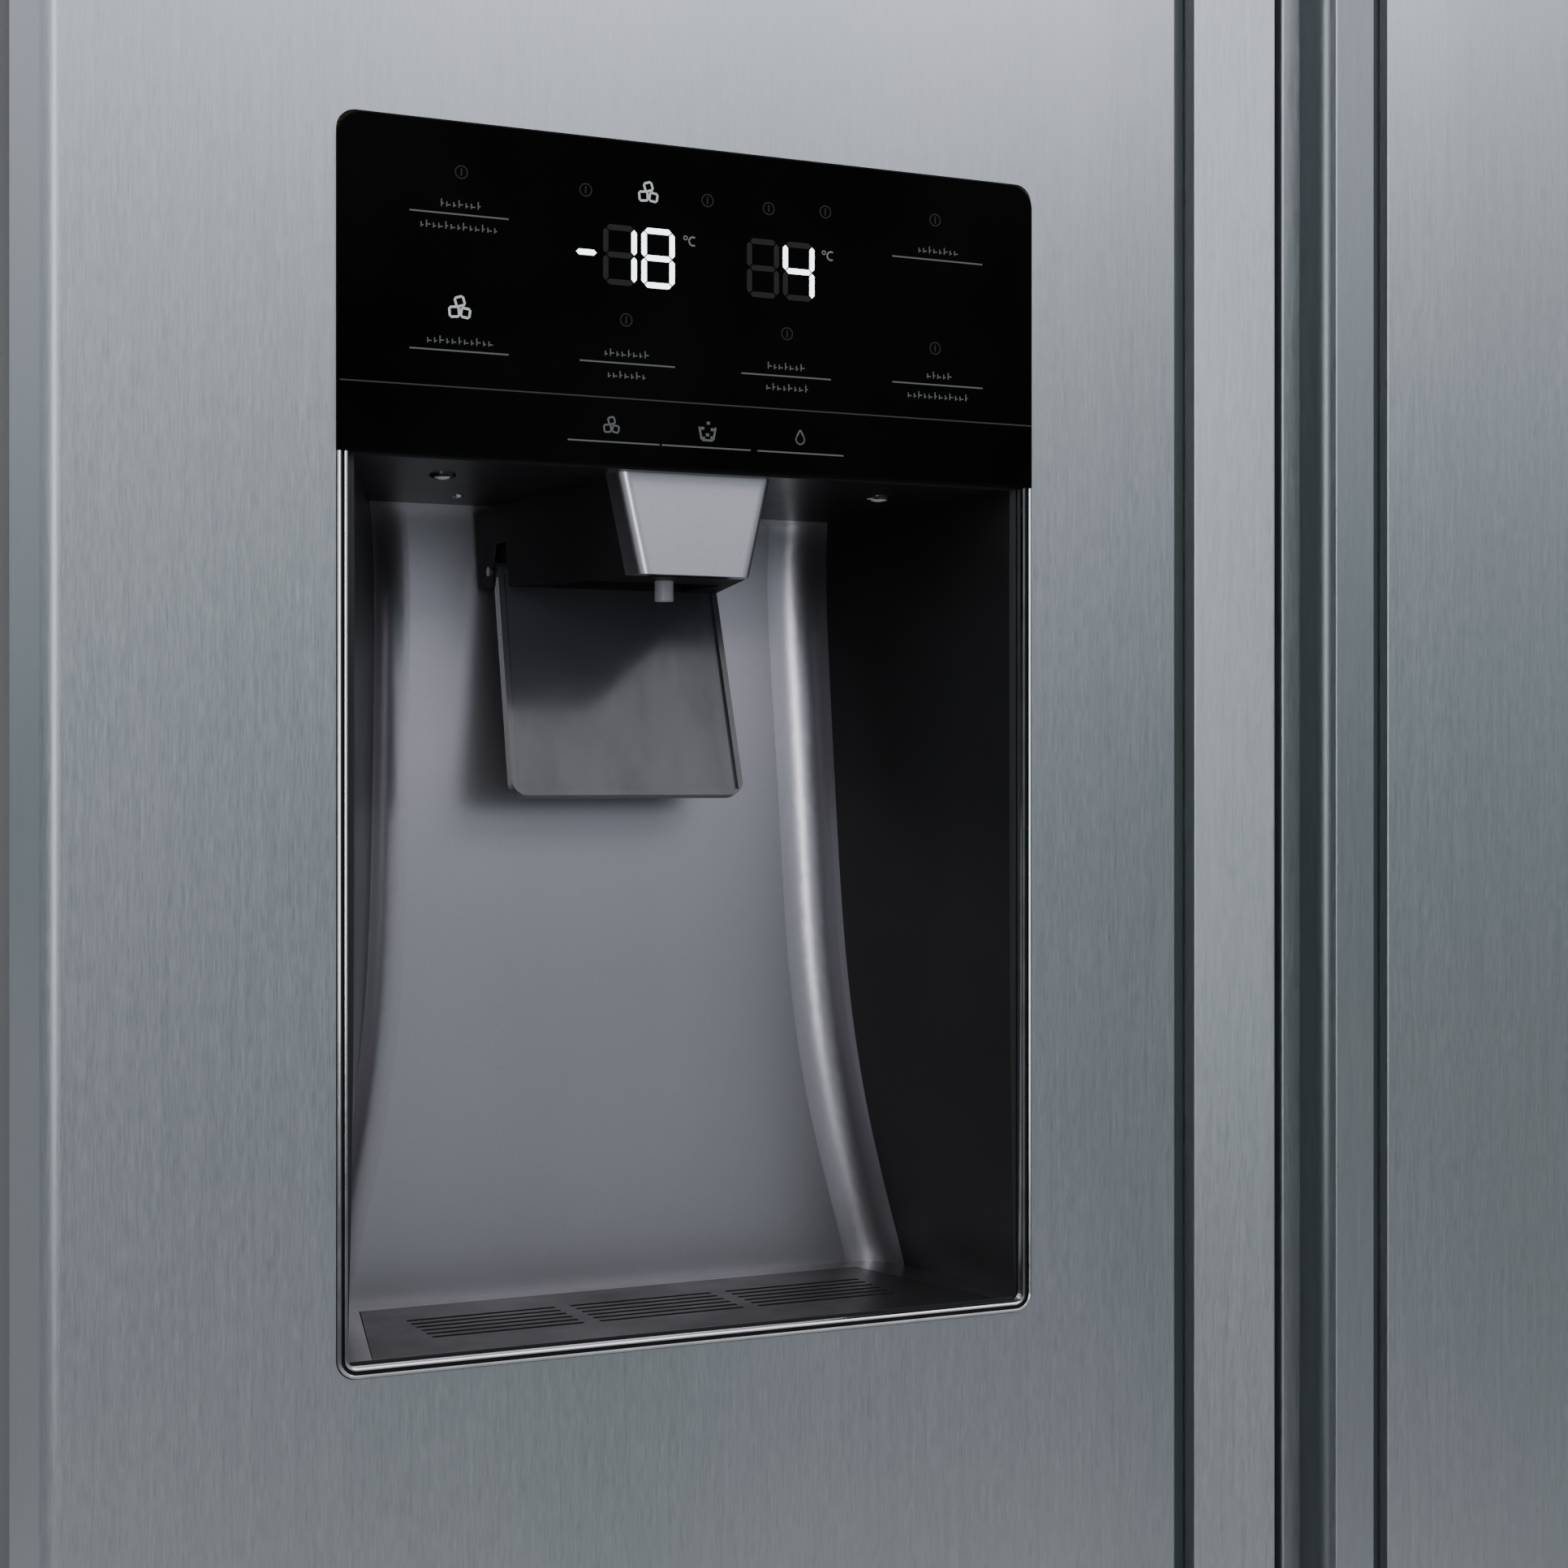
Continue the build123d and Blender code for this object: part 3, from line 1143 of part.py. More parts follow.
def evaporator():
    """Finned cold coil on the rear wall, with the motor and fixed shaft of its fan above it."""
    centre_x, centre_y, centre_z = EVAP_FAN_CENTRE
    with BuildPart() as coil:
        rows = [(depth, height) for depth in (262, 280) for height in (700, 760, 820, 880)]
        fin_pack((-380, -86), (DUCT_Y + 10, ROOM_BACK_Y - 4), (670, 910), 22, rows)
        for x in (-380, -88):
            block((x, x + 2), (ROOM_BACK_Y - 6, ROOM_BACK_Y), (670, 910))
        rod((centre_x, centre_y + 12, centre_z), (0, 1, 0), 20, ROOM_BACK_Y - centre_y - 12)
        rod((centre_x, centre_y - 8, centre_z), (0, 1, 0), FAN_SHAFT_R, 21)
        block((centre_x - 10, centre_x + 10), (ROOM_BACK_Y - 4, ROOM_BACK_Y), (900, centre_z))
    save(coil, "evaporator")


def freezer_duct():
    """Vented cover over the evaporator, with a guard for the fan and the ice auger's gearbox."""
    cover_z = (STEP_Z + 4, ROOM_Z[1] - 4)
    cover_x = inset(FREEZER_X, 1)
    block(cover_x, (DUCT_Y, DUCT_Y + 3), cover_z)
    for x in (cover_x[0], cover_x[1] - 3):
        block((x, x + 3), (DUCT_Y, ROOM_BACK_Y), cover_z)
    block((DISP_MID_X - 40, DISP_MID_X + 40), (DUCT_Y, ROOM_BACK_Y - 1), (AUGER_Z - 30, AUGER_Z + 40))
    rod((DISP_MID_X, DUCT_Y - COUPLING_T, AUGER_Z), (0, 1, 0), COUPLING_R, COUPLING_T + 1)
    with BuildSketch(front_plane(DUCT_Y + 4)) as vents:
        for height in (470, 700, 905, 1300):
            with Locations((sum(FREEZER_X) / 2, height)):
                with GridLocations(70, 12, 3, 3):
                    SlotOverall(56, 5)
        with Locations(EVAP_FAN_SPOT):
            Circle(FAN_R + 2)
    extrude(vents.sketch, amount=6, mode=Mode.SUBTRACT)
    with BuildSketch(front_plane(DUCT_Y + 3)) as guard:
        with Locations(EVAP_FAN_SPOT):
            Circle(FAN_R + 4)
            Circle(FAN_R, mode=Mode.SUBTRACT)
            for radius in (FAN_R - 12, FAN_R - 28):
                Circle(radius)
                Circle(radius - 4, mode=Mode.SUBTRACT)
            Rectangle(2 * FAN_R, 6)
            Rectangle(6, 2 * FAN_R)
    extrude(guard.sketch, amount=3)


FRIDGE_DUCT_X = (130.0, 280.0)


def fridge_duct():
    """Air duct up the back of the fridge, with side vents."""
    duct_z = (STEP_Z + 6, ROOM_Z[1] - 6)
    block(FRIDGE_DUCT_X, (DUCT_Y, ROOM_BACK_Y), duct_z)
    inner_y = (DUCT_Y + 3, ROOM_BACK_Y + 1)
    block(inset(FRIDGE_DUCT_X, 3), inner_y, inset(duct_z, 3), Mode.SUBTRACT)
    with BuildSketch(front_plane(DUCT_Y + 4)) as vents:
        for height in (480, 690, 900, 1120, 1340, 1560):
            with Locations((sum(FRIDGE_DUCT_X) / 2, height)):
                with GridLocations(1, 12, 1, 3):
                    SlotOverall(80, 5)
    extrude(vents.sketch, amount=6, mode=Mode.SUBTRACT)


def air_ducts():
    """The moulded covers that lead cold air up the back of both compartments."""
    with BuildPart() as ducts:
        freezer_duct()
        fridge_duct()
    save(ducts, "air_ducts")


LAMP_SIZE = (120.0, 30.0, 5.0)
LAMP_Y = -200.0


def interior_lamps():
    """Flat lamp in the ceiling of each compartment."""
    with BuildPart() as lamps:
        for room in (FREEZER_X, FRIDGE_X):
            middle = sum(room) / 2
            with Locations((middle, LAMP_Y, ROOM_Z[1] - LAMP_SIZE[2] / 2)):
                Box(*LAMP_SIZE)
        fillet(lamps.edges().filter_by(Axis.Z), 6)
    save(lamps, "interior_lamps")


FREEZER_DRAWER_Z = ((140.0, 318.0), (350.0, 575.0))
FRIDGE_DRAWER_Z = ((140.0, 318.0), (350.0, 548.0))
DRAWER_FRONT_Y = -146.0
DRAWER_WALL = 2.5
DRAWER_RAIL_W = 24.0


def drawer(node, room, z, back_y):
    """Clear drawer with a handle lip along its front."""
    span = inset(room, LEDGE_W + 3)
    with BuildPart() as tub:
        open_bin(span, (DRAWER_FRONT_Y, back_y), z, DRAWER_WALL, DRAWER_WALL)
        lip_z = (z[1] - 30, z[1])
        block(span, (DRAWER_FRONT_Y - 4, DRAWER_FRONT_Y), lip_z)
        grip_x = inset(span, (span[1] - span[0]) / 2 - 60)
        block(grip_x, (DRAWER_FRONT_Y - 5, DRAWER_FRONT_Y - 1.5), (z[1] - 31, z[1] - 8), Mode.SUBTRACT)
    save(tub, node)


BUCKET_X = (-390.0, -76.0)
BUCKET_Y = (-158.0, 226.0)
BUCKET_Z = (1395.0, 1575.0)
AUGER_Z = 1432.0
AUGER_R = 26.0
AUGER_SHAFT_R = 6.0
COUPLING_R = 15.0
COUPLING_T = 3.5
OUTLET_Y = (dy(78.0), dy(106.0))
NOSE_HALF_X = 34.0
BLADE_PITCH = 27.0
BLADE_COUNT = 17


def ice_bucket():
    """Ice bin with a covered outlet that reaches forward over the door's chute."""
    nose_x = (DISP_MID_X - NOSE_HALF_X, DISP_MID_X + NOSE_HALF_X)
    nose_z = (BUCKET_Z[0], AUGER_Z + 36)
    nose_start = OUTLET_Y[0] - BIN_WALL
    with BuildPart() as bucket:
        open_bin(BUCKET_X, BUCKET_Y, BUCKET_Z, BIN_WALL, BIN_WALL)
        block(nose_x, (nose_start, BUCKET_Y[0] + BIN_WALL), nose_z)
        block(inset(nose_x, BIN_WALL), (OUTLET_Y[0], BUCKET_Y[0] + BIN_WALL + 1),
              inset(nose_z, BIN_WALL), Mode.SUBTRACT)
        block(inset(nose_x, 3 * BIN_WALL), OUTLET_Y, (nose_z[0] - 1, nose_z[0] + BIN_WALL + 1),
              Mode.SUBTRACT)
        rod((DISP_MID_X, nose_start - 1, AUGER_Z), (0, 1, 0), AUGER_SHAFT_R + PIN_CLEARANCE,
            BUCKET_Y[1] - nose_start + 2, Mode.SUBTRACT)
    save(bucket, "ice_bucket")


def ice_auger():
    """Shaft with slanted paddles that pushes the ice forward, and its drive coupling."""
    front = OUTLET_Y[0] - BIN_WALL + 1
    coupling_y = DUCT_Y - 2 * COUPLING_T - FIT
    with BuildPart() as auger:
        rod((DISP_MID_X, front, AUGER_Z), (0, 1, 0), AUGER_SHAFT_R, coupling_y - front + 1)
        rod((DISP_MID_X, coupling_y, AUGER_Z), (0, 1, 0), COUPLING_R, COUPLING_T)
        for i in range(BLADE_COUNT):
            y = OUTLET_Y[0] + 14 + i * BLADE_PITCH
            blade = Pos(DISP_MID_X, y, AUGER_Z) * Rot(0, 48 * i, 0) * Pos(0, 0, 15) * Rot(0, 0, 28)
            with Locations(blade):
                Box(18, 3, 22)
    save(auger, "ice_auger")


def ice_maker():
    """Ice mould with a row of cube pockets, its drive head and hanging brackets."""
    with BuildPart() as maker:
        mould_x = (-350, -116)
        mould_z = (1600, 1640)
        block(mould_x, (-40, 60), mould_z)
        with BuildSketch(Plane.XY.offset(mould_z[1])) as pockets:
            with Locations((sum(mould_x) / 2, 10)):
                with GridLocations(37, 44, 6, 2):
                    RectangleRounded(31, 36, 5)
        extrude(pockets.sketch, amount=-28, mode=Mode.SUBTRACT)
        block((-395, -350), (-55, 75), (1590, 1690))
        for x in (-340, -132):
            block((x, x + 6), (0, 20), (1639, ROOM_Z[1]))
    save(maker, "ice_maker")


FILTER_X = 355.0
FILTER_Z = 1662.0
FILTER_R = 27.0
FILTER_Y = (-120.0, 90.0)


def water_filter():
    """Twist-out water filter with a flat grip on its end."""
    with BuildPart() as cartridge:
        rod((FILTER_X, FILTER_Y[0], FILTER_Z), (0, 1, 0), FILTER_R, FILTER_Y[1] - FILTER_Y[0])
        fillet(cartridge.edges().group_by(Axis.Y)[0], 5)
        block((FILTER_X - 22, FILTER_X + 22), (FILTER_Y[0] - 14, FILTER_Y[0] + 2),
              (FILTER_Z - 4, FILTER_Z + 4))
    save(cartridge, "water_filter")


CONTROL_Y = (-120.0, -40.0)


def control_housing():
    """Housing in the fridge's ceiling for its electronics, and the manifold of the water filter."""
    head_start = FILTER_Y[1] + FIT
    with BuildPart() as box:
        block((60, 320), CONTROL_Y, (ROOM_Z[1] - 26, ROOM_Z[1]))
        fillet(box.edges().filter_by(Axis.Z), 8)
        fillet(box.edges().group_by(Axis.Z)[0], 4)
        rod((FILTER_X, head_start, FILTER_Z), (0, 1, 0), 34, 50)
        block((FILTER_X - 12, FILTER_X + 12), (head_start + 10, head_start + 40), (FILTER_Z, ROOM_Z[1]))
    save(box, "control_housing")


if __name__ == "__main__":
    cabinet_shell()
    liner("freezer_liner", FREEZER_X, FREEZER_SHELF_Z, FREEZER_DRAWER_Z)
    liner("fridge_liner", FRIDGE_X, FRIDGE_SHELF_Z, FRIDGE_DRAWER_Z)
    insulation()
    back_panel()
    wall_buffers()
    base_frame()
    kick_grille()
    for name, side in (("left", -1), ("right", 1)):
        roller(f"roller_{name}", side)
        levelling_foot(f"foot_{name}", side)

    machine_cover()
    compressor()
    condenser()
    fan_wheel("condenser_fan", FAN_CENTRE, (1, 0, 0))
    water_valve()
    power_inlet()

    evaporator()
    air_ducts()
    fan_wheel("evaporator_fan", EVAP_FAN_CENTRE, (0, 1, 0))
    glass_shelves()
    for name, room, drawers in (
        ("freezer", FREEZER_X, FREEZER_DRAWER_Z),
        ("crisper", FRIDGE_X, FRIDGE_DRAWER_Z),
    ):
        drawer(f"{name}_drawer_lower", room, drawers[0], STEP_Y - 10)
        drawer(f"{name}_drawer_upper", room, drawers[1], SHELF_BACK_Y - 4)
    ice_bucket()
    ice_auger()
    ice_maker()
    water_filter()
    control_housing()
    interior_lamps()

    door_hinges()
    hinge_covers()
    for door, heights, bin_back in (
        (FREEZER_DOOR, FREEZER_BIN_Z, FREEZER_BIN_Y),
        (FRIDGE_DOOR, FRIDGE_BIN_Z, FRIDGE_BIN_Y),
    ):
        door_skin(door)
        door_grip(door)
        door_foam(door)
        door_liner(door)
        door_caps(door)
        door_gasket(door)
        door_bins(door, heights, bin_back)
    dairy_lid()

    recess = recess_solid()
    spout = spout_solid()
    dispenser_housing(recess)
    dispenser_back(recess)
    spout_body(spout)
    spout_cap(spout)
    dispenser_trim()
    control_glass()
    water_nozzle()
    paddle()
    chute_flap()
    drip_tray()
    drip_grille()
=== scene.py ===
import json
import math

import bmesh
import bpy
from mathutils import Matrix, Vector

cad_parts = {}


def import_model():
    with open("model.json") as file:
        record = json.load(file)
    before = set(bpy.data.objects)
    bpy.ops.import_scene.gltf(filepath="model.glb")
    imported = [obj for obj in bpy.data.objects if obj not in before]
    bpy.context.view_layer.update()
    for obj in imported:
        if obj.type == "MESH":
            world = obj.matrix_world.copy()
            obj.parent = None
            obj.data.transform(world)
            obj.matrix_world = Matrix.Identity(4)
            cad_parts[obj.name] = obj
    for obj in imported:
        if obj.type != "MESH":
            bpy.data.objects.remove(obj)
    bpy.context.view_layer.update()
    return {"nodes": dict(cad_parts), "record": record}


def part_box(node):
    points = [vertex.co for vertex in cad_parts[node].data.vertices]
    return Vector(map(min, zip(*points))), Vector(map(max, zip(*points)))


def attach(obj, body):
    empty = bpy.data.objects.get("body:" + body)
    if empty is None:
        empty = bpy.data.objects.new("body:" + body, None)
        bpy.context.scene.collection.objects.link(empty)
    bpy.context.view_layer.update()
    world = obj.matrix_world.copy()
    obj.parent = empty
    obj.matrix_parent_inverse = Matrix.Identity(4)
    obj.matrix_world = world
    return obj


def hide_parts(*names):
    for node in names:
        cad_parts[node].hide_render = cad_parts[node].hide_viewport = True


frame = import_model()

MM = 0.001

# --- Places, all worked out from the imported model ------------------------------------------
SKIN_LOW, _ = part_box("freezer_door_skin")
GRIP_LOW, GRIP_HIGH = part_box("freezer_door_grip")
_, FRIDGE_GRIP_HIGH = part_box("fridge_door_grip")
GLASS_LOW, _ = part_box("control_glass")
TRIM_LOW, TRIM_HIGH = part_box("dispenser_trim")
FACE_Y = SKIN_LOW[1]
PANEL_X = TRIM_LOW[0]
PANEL_Z = TRIM_LOW[2]
PANEL_W = TRIM_HIGH[0] - TRIM_LOW[0]
PANEL_MID = PANEL_W / 2
GLASS_Y = GLASS_LOW[1]


def at(u, depth, h):
    """A point by mm right of the dispenser's left edge, behind the door's face and above its foot."""
    return Vector((PANEL_X + u * MM, FACE_Y + depth * MM, PANEL_Z + h * MM))


# --- Small mesh helpers --------------------------------------------------------------------
BEVEL_FROM = math.radians(30)       # edges sharper than this are softened
SMOOTH_TO = 35                      # degrees; flatter edges are shaded smooth
CAD_SMOOTH_TO = 30                  # the same for the nodes from the CAD


def mesh_piece(name, body, material, build, bevel=0.0, segments=2, smooth=True):
    """A named piece from a bmesh builder, softened along its edges, that rides on a body."""
    mesh = bpy.data.meshes.new(name)
    piece = bpy.data.objects.new(name, mesh)
    bpy.context.scene.collection.objects.link(piece)
    bm = bmesh.new()
    build(bm)
    if bevel:
        edges = [e for e in bm.edges if e.is_manifold and e.calc_face_angle(0) > BEVEL_FROM]
        bmesh.ops.bevel(bm, geom=edges, offset=bevel, segments=segments, affect="EDGES", profile=0.5)
    bmesh.ops.recalc_face_normals(bm, faces=bm.faces)
    bm.to_mesh(mesh)
    bm.free()
    if smooth:
        smooth_by_angle(mesh)
    mesh.materials.append(material)
    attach(piece, body)
    return piece


def smooth_by_angle(mesh, degrees=SMOOTH_TO):
    """Smooth shading, kept sharp along real edges."""
    mesh.polygons.foreach_set("use_smooth", [True] * len(mesh.polygons))
    mesh.set_sharp_from_angle(angle=math.radians(degrees))


def slab(bm, low, high):
    """An upright box between two corners."""
    middle = [(a + b) / 2 for a, b in zip(low, high)]
    size = [abs(b - a) for a, b in zip(low, high)]
    place = Matrix.Translation(middle) @ Matrix.Diagonal((*size, 1))
    bmesh.ops.create_cube(bm, size=1, matrix=place)


def panel_shape(bm, points, depth, thickness):
    """A flat outline in (u, h) on the dispenser's face, pulled back by its thickness."""
    front = [bm.verts.new(at(u, depth, h)) for u, h in points]
    back = [bm.verts.new(at(u, depth + thickness, h)) for u, h in points]
    bm.faces.new(front)
    bm.faces.new(list(reversed(back)))
    count = len(points)
    for i in range(count):
        j = (i + 1) % count
        bm.faces.new((front[i], front[j], back[j], back[i]))


def turned(bm, profile, centre, axis, steps=32):
    """A profile of (radius, along) turned round an axis through a centre, closed at both ends."""
    spin = Vector(axis).normalized()
    side = spin.orthogonal().normalized()
    across = spin.cross(side)
    rings = []
    for radius, along in profile:
        ring = []
        for step in range(steps):
            angle = 2 * math.pi * step / steps
            arm = side * math.cos(angle) + across * math.sin(angle)
            ring.append(bm.verts.new(centre + spin * along + arm * radius))
        rings.append(ring)
    for first, second in zip(rings, rings[1:]):
        for i in range(steps):
            j = (i + 1) % steps
            bm.faces.new((first[i], first[j], second[j], second[i]))
    bm.faces.new(list(reversed(rings[0])))
    bm.faces.new(rings[-1])


# --- Materials -----------------------------------------------------------------------------
def fill_ramp(ramp, stops):
    """Sets a colour ramp; each stop is (position, (r, g, b)) in linear colour."""
    elements = ramp.color_ramp.elements
    while len(elements) < len(stops):
        elements.new(0.5)
    for element, (position, colour) in zip(elements, stops):
        element.position = position
        element.color = (*colour, 1)


MIX_FACTOR, MIX_FIRST, MIX_SECOND, MIX_RESULT = 0, 6, 7, 2      # sockets of a Mix node set to colour


class Shader:
    """A Principled material with a few short ways to add procedural detail."""

    def __init__(self, name, **constants):
        self.material = bpy.data.materials.new(name)
        self.material.use_nodes = True
        self.tree = self.material.node_tree
        self.shader = self.tree.nodes["Principled BSDF"]
        for key, value in constants.items():
            self.shader.inputs[key.replace("_", " ").title().replace("Ior", "IOR")].default_value = value
        self.coords = self.tree.nodes.new("ShaderNodeTexCoord").outputs["Object"]
        self.height = None

    def feed(self, socket, source):
        """Sets an input to a plain value, or links it to another node's output."""
        if isinstance(source, (int, float, tuple)):
            socket.default_value = source
        else:
            self.tree.links.new(source, socket)

    def node(self, kind, links=(), **settings):
        """A new node with its settings and its inputs by name or number."""
        made = self.tree.nodes.new(kind)
        for key, value in settings.items():
            setattr(made, key, value)
        for socket, source in dict(links).items():
            self.feed(made.inputs[socket], source)
        return made

    def noise(self, stretch, scale=1.0, detail=3.0, rough=0.55, offset=(0, 0, 0)):
        """Noise on object coordinates; stretch is in waves per metre along X, Y and Z."""
        spread = self.node("ShaderNodeMapping", {"Vector": self.coords, "Scale": stretch, "Location": offset})
        found = self.node("ShaderNodeTexNoise", {
            "Vector": spread.outputs[0], "Scale": scale, "Detail": detail, "Roughness": rough})
        return found.outputs["Fac"]

    def remap(self, source, low, high, start=0.0, end=1.0):
        """The range start to end of a value, spread over low to high."""
        found = self.node("ShaderNodeMapRange", {
            "Value": source, "From Min": start, "From Max": end, "To Min": low, "To Max": high})
        return found.outputs["Result"]

    def colours(self, source, *stops):
        """A colour ramp; each stop is (position, (r, g, b)) in linear colour."""
        ramp = self.node("ShaderNodeValToRGB", {"Fac": source})
        fill_ramp(ramp, stops)
        return ramp.outputs["Color"]

    def mix(self, factor, first, second):
        """A blend of two colours, each a node's output or a plain (r, g, b)."""
        found = self.node("ShaderNodeMix", data_type="RGBA")
        self.feed(found.inputs[MIX_FACTOR], factor)
        for index, source in ((MIX_FIRST, first), (MIX_SECOND, second)):
            self.feed(found.inputs[index], (*source, 1) if isinstance(source, tuple) else source)
        return found.outputs[MIX_RESULT]

    def sum(self, first, second):
        """Two values added."""
        return self.node("ShaderNodeMath", {0: first, 1: second}, operation="ADD").outputs[0]

    def link(self, source, socket):
        """Feeds an input of the Principled shader."""
        self.tree.links.new(source, self.shader.inputs[socket])

    def bump(self, source, distance, strength=1.0):
        """Adds a bump of this height in metres; several bumps stack."""
        found = self.node("ShaderNodeBump", {"Height": source, "Distance": distance, "Strength": strength})
        if self.height is not None:
            self.tree.links.new(self.height, found.inputs["Normal"])
        self.height = found.outputs["Normal"]
        self.tree.links.new(self.height, self.shader.inputs["Normal"])


def steel_shader(name):
    """Cold-rolled stainless with a fine upright brushed grain; also returns its colour."""
    s = Shader(name, metallic=1.0, anisotropic=0.5)
    fine = s.noise((2300, 2300, 150), detail=2.0)
    streak = s.noise((620, 620, 22), detail=3.0, offset=(3, 1, 2))
    cloud = s.noise((5, 5, 2.2), detail=2.0, offset=(7, 0, 0))
    grain = s.sum(s.remap(fine, -0.5, 0.5), s.remap(streak, -0.22, 0.22))
    tone = s.colours(s.remap(grain, 0.0, 1.0, -0.36, 0.36),
                     (0.0, (0.425, 0.455, 0.465)), (0.5, (0.50, 0.53, 0.545)), (1.0, (0.575, 0.605, 0.62)))
    tint = s.colours(cloud, (0.35, (0.42, 0.475, 0.475)), (0.65, (0.565, 0.57, 0.62)))
    s.link(s.remap(s.sum(grain, s.remap(cloud, -0.1, 0.1)), 0.31, 0.45, -0.4, 0.4), "Roughness")
    s.bump(fine, 0.000012, 0.5)
    return s, s.mix(0.30, tone, tint)


def brushed_steel():
    """The door skins."""
    s, colour = steel_shader("brushed_steel")
    s.link(colour, "Base Color")
    return s.material


PAINTED_SHADE_FROM, PAINTED_SHADE_TO = 7.0 * MM, 14.0 * MM      # depths over which painted shade turns the grips dark


def grip_steel_painted_shade():
    """The grips: the same steel, with painted shade making it dark inside the hollow behind the ridge."""
    s, colour = steel_shader("grip_steel_painted_shade")
    depth = s.node("ShaderNodeSeparateXYZ", {"Vector": s.coords}).outputs["Y"]
    painted_shade = s.remap(depth, 0.0, 1.0, FACE_Y + PAINTED_SHADE_FROM, FACE_Y + PAINTED_SHADE_TO)
    # painted shade: the steel colour blends to dark grey between these depths, inside the hollow
    s.link(s.mix(painted_shade, colour, (0.30, 0.34, 0.345)), "Base Color")
    return s.material


def fine_grain(name, colour, roughness, grain=2200, height=0.00003, variation=0.12, **constants):
    """Moulded plastic or paint: slight colour drift, a fine surface texture and uneven gloss."""
    s = Shader(name, **constants)
    drift = s.noise((9, 9, 9), detail=4.0)
    dark = tuple(c * (1 - variation) for c in colour)
    light = tuple(min(1.0, c * (1 + variation)) for c in colour)
    s.link(s.colours(drift, (0.3, dark), (0.7, light)), "Base Color")
    speck = s.noise((grain, grain, grain), detail=2.0)
    smear = s.noise((24, 24, 14), detail=4.0, offset=(2, 5, 1))
    s.link(s.remap(smear, roughness * 0.85, min(1.0, roughness * 1.18), 0.3, 0.7), "Roughness")
    s.bump(speck, height, 0.6)
    return s.material


def polished(name, colour, roughness, **constants):
    """Smooth gloss with faint wipe marks and a slow waviness in its reflections."""
    s = Shader(name, **constants)
    drift = s.noise((14, 14, 14), detail=3.0)
    light = tuple(min(1.0, c * 1.25 + 0.002) for c in colour)
    s.link(s.colours(drift, (0.35, colour), (0.75, light)), "Base Color")
    wipe = s.noise((60, 60, 18), detail=5.0, rough=0.7)
    s.link(s.remap(wipe, roughness * 0.7, roughness * 1.8, 0.35, 0.75), "Roughness")
    s.bump(s.noise((35, 35, 35), detail=1.0), 0.00002, 0.35)
    return s.material


def silver_lacquer(name, gain=1.0):
    """Satin silver lacquer with a metallic flake, as on the recess liner."""
    s = Shader(name, metallic=1.0)
    flake = s.noise((5200, 5200, 5200), detail=1.0)
    drift = s.noise((12, 12, 6), detail=3.0)
    dark = (0.47 * gain, 0.455 * gain, 0.49 * gain)
    light = (0.61 * gain, 0.59 * gain, 0.63 * gain)
    tone = s.colours(flake, (0.3, dark), (0.7, light))
    s.link(s.mix(0.25, tone, s.colours(drift, (0.3, dark), (0.7, light))), "Base Color")
    s.link(s.remap(flake, 0.26, 0.36), "Roughness")
    s.bump(flake, 0.000012, 0.35)
    return s.material


def galvanised():
    """Zinc-coated sheet with a soft spangle."""
    s = Shader("galvanised_sheet", metallic=0.85)
    spangle = s.node("ShaderNodeTexVoronoi", {
        "Vector": s.node("ShaderNodeMapping", {"Vector": s.coords, "Scale": (90, 90, 90)}).outputs[0]})
    tone = s.colours(spangle.outputs["Distance"], (0.0, (0.34, 0.36, 0.38)), (0.8, (0.52, 0.54, 0.56)))
    s.link(tone, "Base Color")
    s.link(s.remap(s.noise((40, 40, 40)), 0.34, 0.58), "Roughness")
    s.bump(s.noise((300, 300, 300)), 0.00003, 0.4)
    return s.material


def chrome():
    """Bright plated trim with faint haze."""
    s = Shader("trim_chrome", metallic=1.0)
    haze = s.noise((120, 120, 120), detail=4.0)
    s.link(s.colours(haze, (0.3, (0.30, 0.31, 0.32)), (0.7, (0.38, 0.39, 0.40))), "Base Color")
    s.link(s.remap(haze, 0.10, 0.22), "Roughness")
    s.bump(s.noise((700, 700, 700)), 0.000006, 0.4)
    return s.material


def clear(name, colour, roughness, transmission=0.92, **constants):
    """Clear moulded plastic or glass with faint smears."""
    s = Shader(name, transmission_weight=transmission, ior=1.49, **constants)
    smear = s.noise((30, 30, 12), detail=5.0, rough=0.65)
    dim = tuple(c * 0.93 for c in colour)
    s.link(s.colours(smear, (0.3, dim), (0.7, colour)), "Base Color")
    s.link(s.remap(smear, roughness * 0.6, roughness * 1.6, 0.3, 0.7), "Roughness")
    s.bump(s.noise((25, 25, 25), detail=1.0), 0.0001, 0.15)
    return s.material


def glowing(name, colour, strength, flicker=0.08):
    """A lit mark: unevenly bright in fine spots, as diodes behind a diffuser are."""
    s = Shader(name, specular_ior_level=0.05, emission_strength=strength)
    uneven = s.noise((700, 700, 700), detail=2.0)
    dim = tuple(c * (1 - flicker) for c in colour)
    tone = s.colours(uneven, (0.35, dim), (0.65, colour))
    s.link(tone, "Emission Color")
    s.link(s.mix(0.97, tone, (0.002, 0.002, 0.002)), "Base Color")
    s.link(s.remap(uneven, 0.35, 0.45), "Roughness")
    s.bump(uneven, 0.00001, 0.2)
    return s.material


def fins(name):
    """Bare aluminium fin stock, streaked from rolling."""
    s = Shader(name, metallic=0.95)
    roll = s.noise((30, 220, 400), detail=3.0)
    s.link(s.colours(roll, (0.3, (0.50, 0.51, 0.52)), (0.7, (0.72, 0.73, 0.74))), "Base Color")
    s.link(s.remap(roll, 0.24, 0.42), "Roughness")
    s.bump(roll, 0.00003, 0.5)
    return s.material


